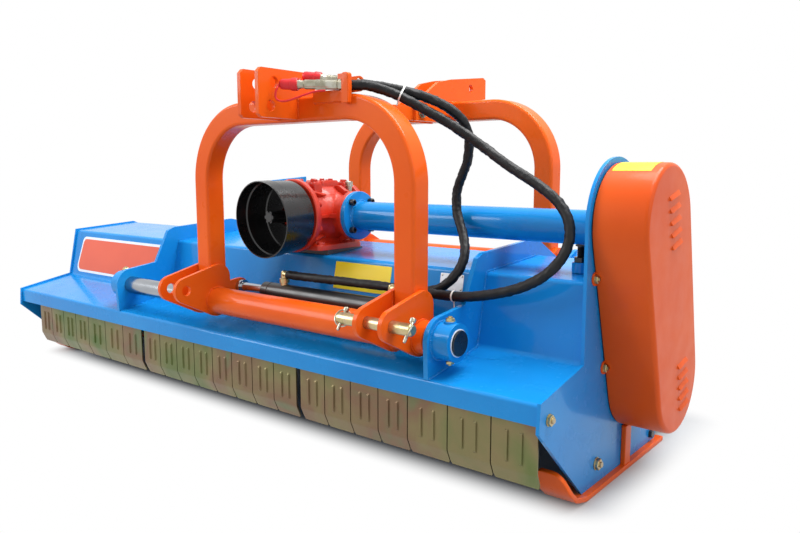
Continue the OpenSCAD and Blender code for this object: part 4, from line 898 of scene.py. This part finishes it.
# the sheet's middle line from the rolled eye to the tip: (y, z, distance down)
def flapLine():
    s = flapSettings
    curl, face = s["rodR"] + s["t"] / 2, s["t"] / 2 - s["rodR"] - s["t"] * 0.9
    line = [(curl * c, curl * d, 0) for c, d in [polar(-60 + 17.5 * k) for k in range(15)]]
    fold, (low, high) = s["length"] - s["tip"], s["ribEnds"]
    rows = [10, 20, low - 6, low] + [low + 4 + (high - low - 8) * k / 5 for k in range(6)]
    rows += [high, fold - 2, fold + 2] + [fold + s["tip"] * k / 6 for k in range(1, 7)]
    return line + [(face + s["kick"] * max(0.0, d - fold) / s["tip"], -d, d) for d in rows]


def makeFlap(index, line):
    s, shape = flapSettings, newShape()
    x0, wide = flaps[index][0] + s["ease"], flaps[index][1] - 2 * s["ease"]
    (y0, z0), (low, high), t, trim = hood["rod"], s["ribEnds"], s["t"] / 2, s["corner"]
    half, rib, ribAt = wide / 2, s["ribW"] / 2, s["ribAt"] * wide
    columns = [side * (half - e) for side in (-1, 1) for e in (0, 3.5, 7)] + [0.0, -0.32 * wide, 0.32 * wide]
    columns += [c + side * e for c in (-ribAt, ribAt) for side in (-1, 1) for e in (rib, rib + 1.4)]
    columns.sort()
    rings = []
    for i, (y, z, d) in enumerate(line):
        a, b = line[max(i - 1, 0)], line[min(i + 1, len(line) - 1)]
        way = Vector((b[0] - a[0], b[1] - a[1])).normalized()
        out = Vector((way.y, -way.x))
        if d <= 0:
            out = Vector((y, z)).normalized()
        elif out.x > 0:
            out = -out
        front, back = [], []
        for across in columns:
            edgeIn, tipIn = half - abs(across), s["length"] - d
            draw = 0.45 * (trim - tipIn) if d > 0 and tipIn < trim and edgeIn < trim else 0.0
            x = x0 + half + across - math.copysign(draw * max(0, 1 - edgeIn / trim), across)
            onRib = low < d < high and min(abs(across - ribAt), abs(across + ribAt)) < rib + 0.1
            lift = s["rib"] if onRib else 0.0
            front.append((x, y0 + y + out.x * (t + lift), z0 + z + out.y * t))
            back.append((x, y0 + y - out.x * (t - lift), z0 + z - out.y * t))
        rings.append(front + back[::-1])
    addRings(shape, rings)
    number = "%02d" % (index + 1)
    dress("flapSheet" + number, shape, "flap_" + number, "flap", ["flap_" + number], sharp=32)


sheetLine = flapLine()
for i in range(flapRow["count"]):
    makeFlap(i, sheetLine)
print("flaps done")

# hinge rods and hitch pins; a clip is a linchpin's X and lean
pins = {"rods": (hood["rod"], (655, 314)), "rodHalf": 1120, "link": (-54, 382), "r": 13.95, "x": (620, 835),
        "clips": ((632, 1.5), (823, -1.1)), "strut": (540, 886), "strutNuts": ((328, -1, 0), (404, 1, 0.3)),
        "peg": [(2.5, -30), (4, -26), (4, 16), (6.4, 17), (7, 19), (7, 25), (5.5, 27), (0, 27)],
        "pegWay": (0, 0.57, 0.82), "ring": (17, 20), "wireR": 1.9,
        "strutBolt": [(8, 326), (10, 328), (10, 412), (8, 414)]}


def makePins():
    rods, pin, clip = newShape(), newShape(), newShape()
    for place in pins["rods"]:
        half = pins["rodHalf"]
        addTurned(rods, "x", (0, *place), [(5, -half), (6, 1 - half), (6, half - 1), (5, half)], 24)
    dress("hingeRods", rods, "deck", "zinc", ["hinge_rods"])
    (x0, x1), r = pins["x"], pins["r"]
    addTurned(pin, "x", (0, *pins["link"]), [(r - 4, x0), (r, x0 + 5), (r, x1 - 5), (r - 4, x1)], 40)
    addTurned(pin, "x", (0, *pins["strut"]), pins["strutBolt"], 28)
    dress("hitchPins", pin, "carriage", "zinc", ["hitch_pins"])
    # linchpins: a peg through the pin and a wire ring that snaps round it
    up, (a, b) = Vector(pins["pegWay"]), pins["ring"]
    turns = [polar(78 - 336 * k / 40) for k in range(41)]
    for x, lean in pins["clips"]:
        middle, side = Vector((x, *pins["link"])), Vector((lean, up.z, -up.y)).normalized()
        addTurnedTo(clip, middle, up, pins["peg"], 20)
        addSwept(clip, [middle + side * a * c + up * (1 + b * s) for c, s in turns], pins["wireR"], 10)
    dress("linchPins", clip, "carriage", "coupler")
    spots = [((x, *pins["strut"]), (way, 0, 0), (0, 1, lean), 1.2) for x, way, lean in pins["strutNuts"]]
    scatter("strutBolts", hexBolt(), spots, "carriage", "zinc")


makePins()

# the deck's bolts; side bolts have (y, z), lean and size, and stand on both side plates;
# a tab has its radius, depth and rise
bolts = {"sides": (((265, 60), 0.2, 1.0), ((595, 110), 0.5, 1.0), (hood["rod"], 0.3, 0.86)),
         "bosses": ((45.5, 1, 0.76), (-42.5, -1, 0.7)), "bossX": (-444.5, 855.5), "rear": (602, 33),
         "tabs": (((221, 485), 0.4), ((284, 278), 0.1)), "tabX": (1108.3, 1111.3), "tab": (15, 26, 22),
         "screw": (1030, 320), "seatZ": 481, "screwZ": 505}


def makeBolts():
    seat, screw, tabs, side = newShape(), newShape(), newShape(), hood["sideX"]
    spots = [((way * side, *place), (way, 0, 0), (0, 1, lean), size)
             for way in (-1, 1) for place, lean, size in bolts["sides"]]
    spots += [((x, y, z + up), (0, 0, way), (1, 0.3, 0), size)
              for x in bolts["bossX"] for y, z in barPlaces for up, way, size in bolts["bosses"]]
    r, deep, rise = bolts["tab"]
    for (y, z), lean in bolts["tabs"]:
        spots.append(((cover["x"][0], y, z), (1, 0, 0), (0, 1, lean), 0.72))
        outline = [(y + r * c, z + r * s) for c, s in [polar(a) for a in range(90, 271, 12)]]
        addSlab(tabs, outline + [(y + deep, z - r), (y + deep, z + rise)], *bolts["tabX"])
    scatter("deckBolts", hexBolt(stud=5.0), spots, "deck", "zinc", ["deck_fasteners"])
    # tension screw under the drive tube, on its seat
    addTurned(seat, "z", (*bolts["screw"], bolts["seatZ"]), [(20, 0), (20, 22.5), (18.5, 24), (9, 24)], 32)
    dress("screwSeat", seat, "deck", "blue")
    foot = (*bolts["screw"], bolts["screwZ"])
    addTurned(screw, "z", foot, [(15, 0), (17, 1), (17, 11), (15, 12)], 6)
    threads = [(9.0 if k % 2 else 7.8, 12 + k * 1.1) for k in range(22)]
    addTurned(screw, "z", foot, threads + [(9, 37), (13, 37), (13, 39.6), (0, 39.6)], 24)
    dress("tensionScrew", screw, "deck", "black")
    dress("coverTabs", tabs, "deck", "cover", edge=0.5)
    spots = [((way * side, *bolts["rear"]), (way, 0, 0), (0, 1, 0.3), 0.8) for way in (-1, 1)]
    scatter("rearBolts", hexBolt(), spots, "deck", "black")


makeBolts()

# shift cylinder with its hose elbows and tail bracket
ram = {"x": (150.3, 640.3), "y": 135, "z": 372, "r": 25, "rodR": 14.1, "boreR": 20,
       "ports": (230.3, 620.3), "hoseZ": 425, "bracketX": (640.5, 690.3),
       "bracket": [(110, 283.6), (160, 293.4), (160, 389), (110, 389)]}


def makeRam():
    barrel, elbows, bracket = newShape(), newShape(), newShape()
    (x0, x1), y, z = ram["x"], ram["y"], ram["z"]
    r, rod, bore = ram["r"], ram["rodR"], ram["boreR"]
    line = [(rod, x0), (r - 2, x0), (r, x0 + 2), (r, x0 + 26), (r - 1.5, x0 + 27), (r - 1.5, x0 + 29),
            (r, x0 + 30), (r, x1 - 2), (r - 2, x1), (0, x1), (0, x1 - 12), (bore, x1 - 12), (bore, x0 + 12),
            (rod, x0 + 12)]
    addTurned(barrel, "x", (0, y, z), line, 48)
    dress("shiftCylinder", barrel, "deck", "black", ["cylinder_barrel"])
    stem = [(11, 20), (11, 30), (14, 30), (14, 41), (12, 42), (10, 43), (10, 56), (8, 62), (3, 64), (0, 64)]
    for x in ram["ports"]:
        addTurned(elbows, "z", (x, y, z), stem, 24)
        addTurned(elbows, "x", (x, y, ram["hoseZ"]), [(0, -9), (6, -8), (9.5, -3), (10, 0), (10, 15)], 24)
    dress("hoseElbows", elbows, "deck", "zinc")
    addSlab(bracket, ram["bracket"], *ram["bracketX"])
    dress("cylinderBracket", bracket, "deck", "blue", edge=4)


makeRam()

# quick couplers with knurled sleeves and red dust caps
couplers = {"holes": ((569, 42, 910), (569, 76, 916)), "tips": ((423, -40, 915), (450, 10, 936)),
            "ear": [(564, 868), (585, 868), (585, 937), (564, 937)], "earY": (20, 34.8), "knurls": 30,
            "knurlR": 11.2, "knurlBack": 35, "tetherR": 2.4,
            "tethers": (((426, -44, 914), (426, -52, 904), (425, -56, 892), (428, -56, 880), (441, -52, 874),
                         (461, -44, 876), (487, -28, 886), (510, -10, 895), (530, 4, 897)),
                        ((449, 2, 929), (455, -6, 922), (470, -6, 918), (490, 3, 916), (512, 16, 915),
                         (530, 28, 918)))}


def makeCouplers():
    steel, ends, caps, ear, knurl, spots = newShape(), newShape(), newShape(), newShape(), newShape(), []
    for hole, tip in zip(couplers["holes"], couplers["tips"]):
        way = Vector(tip) - Vector(hole)
        n = way.length
        way.normalize()
        addTurnedTo(steel, hole, way, [(0, -8), (10, -8), (10, 26), (11.4, 27), (11.4, n - 62), (9.4, n - 60),
                                       (9.4, n - 52), (10.8, n - 50), (10.8, n - 40), (0, n - 40)], 36)
        nut = [(9, 14), (13, 14), (14, 15), (14, 24), (13, 25), (9, 25)]
        addTurnedTo(steel, hole, way, nut, 6, loop=True)
        addTurnedTo(ends, hole, way, [(0, -31), (11, -31), (11.6, -29), (11.6, -6), (0, -6)], 32)
        addTurnedTo(caps, hole, way, [(11, n - 45), (14, n - 45), (15, n - 43), (15, n - 31), (14.4, n - 29),
                                      (12.6, n - 28), (12.2, n - 8), (11, n - 3), (8, n), (0, n)], 36)
        side = way.orthogonal().normalized()
        up = way.cross(side)
        middle = Vector(hole) + way * ((n - couplers["knurlBack"]) / 2)
        for k in range(couplers["knurls"]):
            a = 2 * math.pi * k / couplers["knurls"]
            out = math.cos(a) * side + math.sin(a) * up
            spots.append((middle + out * couplers["knurlR"], out, way, 1.0))
    dress("quickCouplers", steel, "carriage", "coupler", ["quick_couplers"])
    dress("hoseCollars", ends, "carriage", "sleeve")
    addSlab(ear, rounded(couplers["ear"], [2, 2, 7, 7]), *couplers["earY"], axis="y")
    dress("bracketEar", ear, "carriage", "orange", edge=1.6)
    for line in couplers["tethers"]:
        addSwept(caps, smoothRoute(line, 8), couplers["tetherR"], 10)
    dress("dustCaps", caps, "carriage", "cap")
    addSlab(knurl, [(-0.8, 0), (0.8, 0), (0.3, 0.8), (-0.3, 0.8)], -12, 12)
    scatter("couplerKnurls", unitMesh("knurl", knurl), spots, "carriage", "coupler")


makeCouplers()

# bearing housings with their bolts: side, y and z, and the shaft's radius; the profile stands on that radius
housings = {"places": ((1, 433, 237, 25), (-1, 433, 237, 25), (1, 320, 585, 17.5)), "boltR": 31, "flange": 10,
            "profile": ((0.1, 0), (38.5, 0), (40, 1.5), (40, 8.5), (38.5, 10), (25, 10), (22, 13), (21, 27),
                        (18, 30), (0.1, 30))}


def makeHousings():
    shape, spots = newShape(), []
    for way, y, z, r in housings["places"]:
        x = way * hood["sideX"]
        addTurned(shape, "x", (x, y, z), [(r + a, way * d) for a, d in housings["profile"]], 56, loop=True)
        spots += boltCircle("x", (x + way * housings["flange"], y, z), r + housings["boltR"], 6, 30, 0.6, way)
    dress("bearingHousings", shape, "deck", "iron", ["bearing_housings"])
    scatter("housingBolts", hexBolt(), spots, "deck", "zinc")


makeHousings()
print("fittings done")

# plain patches on the steep front face and on the cover's top: finish, X and Z range, corner, lean and lift
patches = {"panel": ("panel", (-1058, -504), (324, 443), 20, 26, 1.1),
           "border": ("pale", (-1067, -495), (315, 452), 24, 28, 0.7),
           "yellow": ("yellow", (343, 545), (389, 462), 3, 0, 0.7),
           "plate": ("plate", (703, 772), (421, 462), 3, 0, 0.7)}
faceOut = (0, -0.98, 0.197)
rivets = {"x": (708, 767), "z": (426, 457), "lift": 0.7}
coverPatch = {"x": (1120, 1204), "first": 78, "step": 3, "count": 15, "half": 0.6}


def facePoint(x, z, lift):
    (y0, z0), (y1, z1) = hood["line"][2:4]
    return x, y0 + (y1 - y0) * (z - z0) / (z1 - z0) + faceOut[1] * lift, z + faceOut[2] * lift


def makePatches():
    for name, (finish, (x0, x1), (z0, z1), corner, lean, lift) in patches.items():
        outline = rounded([(x0, z0), (x1, z0), (x1 + lean, z1), (x0 + lean, z1)], corner)
        shape = newShape()
        addRings(shape, [[facePoint(x, z, d) for x, z in outline] for d in (-0.3, lift)])
        dress(name + "Patch", shape, "deck", finish, edge=0.2)
    spots = [(facePoint(x, z, rivets["lift"]), faceOut, (1, 0, 0), 1.0)
             for x in rivets["x"] for z in rivets["z"]]
    scatter("plateRivets", rivetHead(), spots, "deck", "coupler")
    shape, (y, z), arc = newShape(), cover["top"], []
    turns = [polar(coverPatch["first"] + coverPatch["step"] * k) for k in range(coverPatch["count"])]
    for way in (1, -1):
        r = cover["topR"] + coverPatch["half"] * way
        arc += [(y + r * c, z + r * s) for c, s in turns[::way]]
    addSlab(shape, arc, *coverPatch["x"])
    dress("coverPatch", shape, "deck", "yellow")


makePatches()

# white ties round one or two hoses: hose centres, their direction, the cut tail and the step it leaves from
ties = {"r": 12.6, "halfW": 1.9, "steps": 40,
        "places": ((((668, 113, 882), (657, 127, 898)), (0.72, 0.56, -0.4), (6, -14, -12), 10),
                   (((806, 135, 426),), (1, 0, 0), (8, -10, -15), 25))}


def makeTies():
    shape = newShape()
    for centres, way, tail, leaves in ties["places"]:
        middle = sum((Vector(c) for c in centres), Vector()) / len(centres)
        way, tail = Vector(way).normalized(), Vector(tail)
        long = Vector(centres[0]) - middle
        long = (long - way * long.dot(way)) if long.length else way.orthogonal()
        reach = long.length if len(centres) > 1 else 0.0
        long.normalize()
        flat = way.cross(long)
        ring, band, edge = [], [], way * ties["halfW"]
        for c, s in [polar(360 * k / ties["steps"]) for k in range(ties["steps"])]:
            p = middle + long * (ties["r"] * c + math.copysign(reach, c)) + flat * ties["r"] * s
            out = (p - middle).normalized()
            ring.append(p)
            band.append([p - edge, p - edge + out, p + edge + out, p + edge])
        addRings(shape, band, loop=True)
        start = ring[leaves]
        addSwept(shape, [start, start + tail * 0.4, start + tail], 1.5, 6)
    dressBetween("hoseTies", shape, "nylon", 40)


makeTies()

# weld beads: along the ribs, round the bosses, the drive tube and the slide tubes, and on the arches
welds = {"deckLine": [(4, 263), (190, 299.5), (196, 305), (228, 470), (236, 475.5), (470, 492), (490, 489),
                      (630, 430)],
         "ribX": (-427.5, -414.5, 820.5, 833.5), "bossX": (-427.5, 833.5), "bossR": 43.5,
         "driveRings": ((1099, 41), (352, 43)), "lugR": 38.6,
         "lugX": (-45.5, -32.5, 26.5, 39.5, 692.5, 705.5, 764.5, 777.5), "mastX": (327.5, 404.5),
         "mast": (((34.5, 840), (34.5, 892.5), (95, 892.5)), ((679.5, 862), (679.5, 925.5), (740, 925.5))),
         "legX": (26.5, 705.5), "leg": (((34.5, 385), (34.5, 442)),),
         "bracket": [(462, 34.5, 873.5), (572, 34.5, 873.5)]}


def makeWelds():
    drive = (gearbox["driveY"], gearbox["z"])
    lines = [[(x, y, z) for y, z in welds["deckLine"]] for x in welds["ribX"]]
    lines += [ringLine((x, *place), welds["bossR"]) for x in welds["bossX"] for place in barPlaces]
    lines += [ringLine((x, *drive), r) for x, r in welds["driveRings"]]
    weld("deckWelds", lines, "deck", "blue", width=3.4, seed=5)
    lines = [ringLine((x, *place), welds["lugR"]) for x in welds["lugX"] for place in barPlaces]
    for part in ("mast", "leg"):
        lines += [[(x, *p) for p in run] for x in welds[part + "X"] for run in welds[part]]
    lines.append(welds["bracket"])
    weld("carriageWelds", lines, "carriage", "orange", width=3.0, seed=8)


makeWelds()
print("patches, ties and welds done")

# studio: a floor that is white away from the machine, with a painted shadow patch round its footprint where
# the white glow is taken out and the floor shows its lit grey with the real shadow, and soft lamps
# middle, half and reach set the painted shadow patch: a box round the machine's footprint, in metres, and the
# distance over which the white glow comes back
studio = {"world": 0.68, "middle": (-0.03, 0.12, 0), "half": (1.08, 0.33, 9), "reach": 0.13,
          "aim": (0.1, 0.0, 0.45), "floor": 30, "floorColor": (0.42, 0.425, 0.43, 1),
          "skyColor": (0.94, 0.97, 1.0, 1),
          "lamps": {"topSoftbox": ((1.1, 0.5, 3.4), 2.6, 168), "leftKey": ((-2.6, -3.0, 2.4), 2.4, 95),
                    "rightFill": ((4.2, -0.4, 2.2), 2.6, 24)}}


def emptyTree(owner):
    owner.use_nodes = True
    owner.node_tree.nodes.clear()
    return owner.node_tree


def seenRays(tree):
    path = addNode(tree, "ShaderNodeLightPath").outputs
    last = path["Is Camera Ray"]
    for label in ("Is Glossy Ray", "Is Transmission Ray"):
        last = addNode(tree, "ShaderNodeMath", {0: last, 1: path[label]}, operation="MAXIMUM")
    return last


def mixTo(tree, kind, share, first, second):
    addNode(tree, kind, {"Surface": addNode(tree, "ShaderNodeMixShader", {0: share, 1: first, 2: second})})


def makeFloor():
    mesh, w = bpy.data.meshes.new("floor"), studio["floor"]
    mesh.from_pydata([(-w, -w, 0), (w, -w, 0), (w, w, 0), (-w, w, 0)], [], [(0, 1, 2, 3)])
    floor = newObject("floor", mesh)
    paint = bpy.data.materials.new("floorWhitePaintedShadow")
    tree = emptyTree(paint)
    body = addNode(tree, "ShaderNodeBsdfDiffuse", {"Color": studio["floorColor"]})
    glow = addNode(tree, "ShaderNodeEmission", {"Strength": 1.0})
    zero, last = (0, 0, 0), addNode(tree, "ShaderNodeTexCoord").outputs["Object"]
    for way, value in (("SUBTRACT", studio["middle"]), ("ABSOLUTE", zero), ("SUBTRACT", studio["half"]),
                       ("MAXIMUM", zero), ("LENGTH", zero)):
        last = addNode(tree, "ShaderNodeVectorMath", {0: last, 1: value}, operation=way)
    # painted shadow: the white glow fades out towards the machine's footprint, darkening the floor there
    # under any lamp
    paintedShadowFade = addNode(tree, "ShaderNodeMapRange", {
        "Value": last.outputs["Value"], "From Min": 0.0, "From Max": studio["reach"], "To Min": 0.0,
        "To Max": 1.0}, interpolation_type="SMOOTHSTEP")
    share = addNode(tree, "ShaderNodeMath", {0: seenRays(tree), 1: paintedShadowFade}, operation="MULTIPLY")
    mixTo(tree, "ShaderNodeOutputMaterial", share, body, glow)
    mesh.materials.append(paint)


def makeLights():
    world = bpy.data.worlds.new("studio")
    scene.world = world
    tree = emptyTree(world)
    soft = addNode(tree, "ShaderNodeBackground", {"Color": studio["skyColor"], "Strength": studio["world"]})
    white = addNode(tree, "ShaderNodeBackground", {"Color": (1, 1, 1, 1), "Strength": 1.0})
    mixTo(tree, "ShaderNodeOutputWorld", seenRays(tree), soft, white)
    for name, (place, size, power) in studio["lamps"].items():
        lamp = bpy.data.lights.new(name, "AREA")
        lamp.shape, lamp.size, lamp.energy = "DISK", size, power
        obj = newObject(name, lamp)
        obj.location = place
        obj.rotation_euler = (Vector(studio["aim"]) - Vector(place)).to_track_quat("-Z", "Y").to_euler()


makeFloor()
makeLights()
scene.view_settings.view_transform = "Standard"
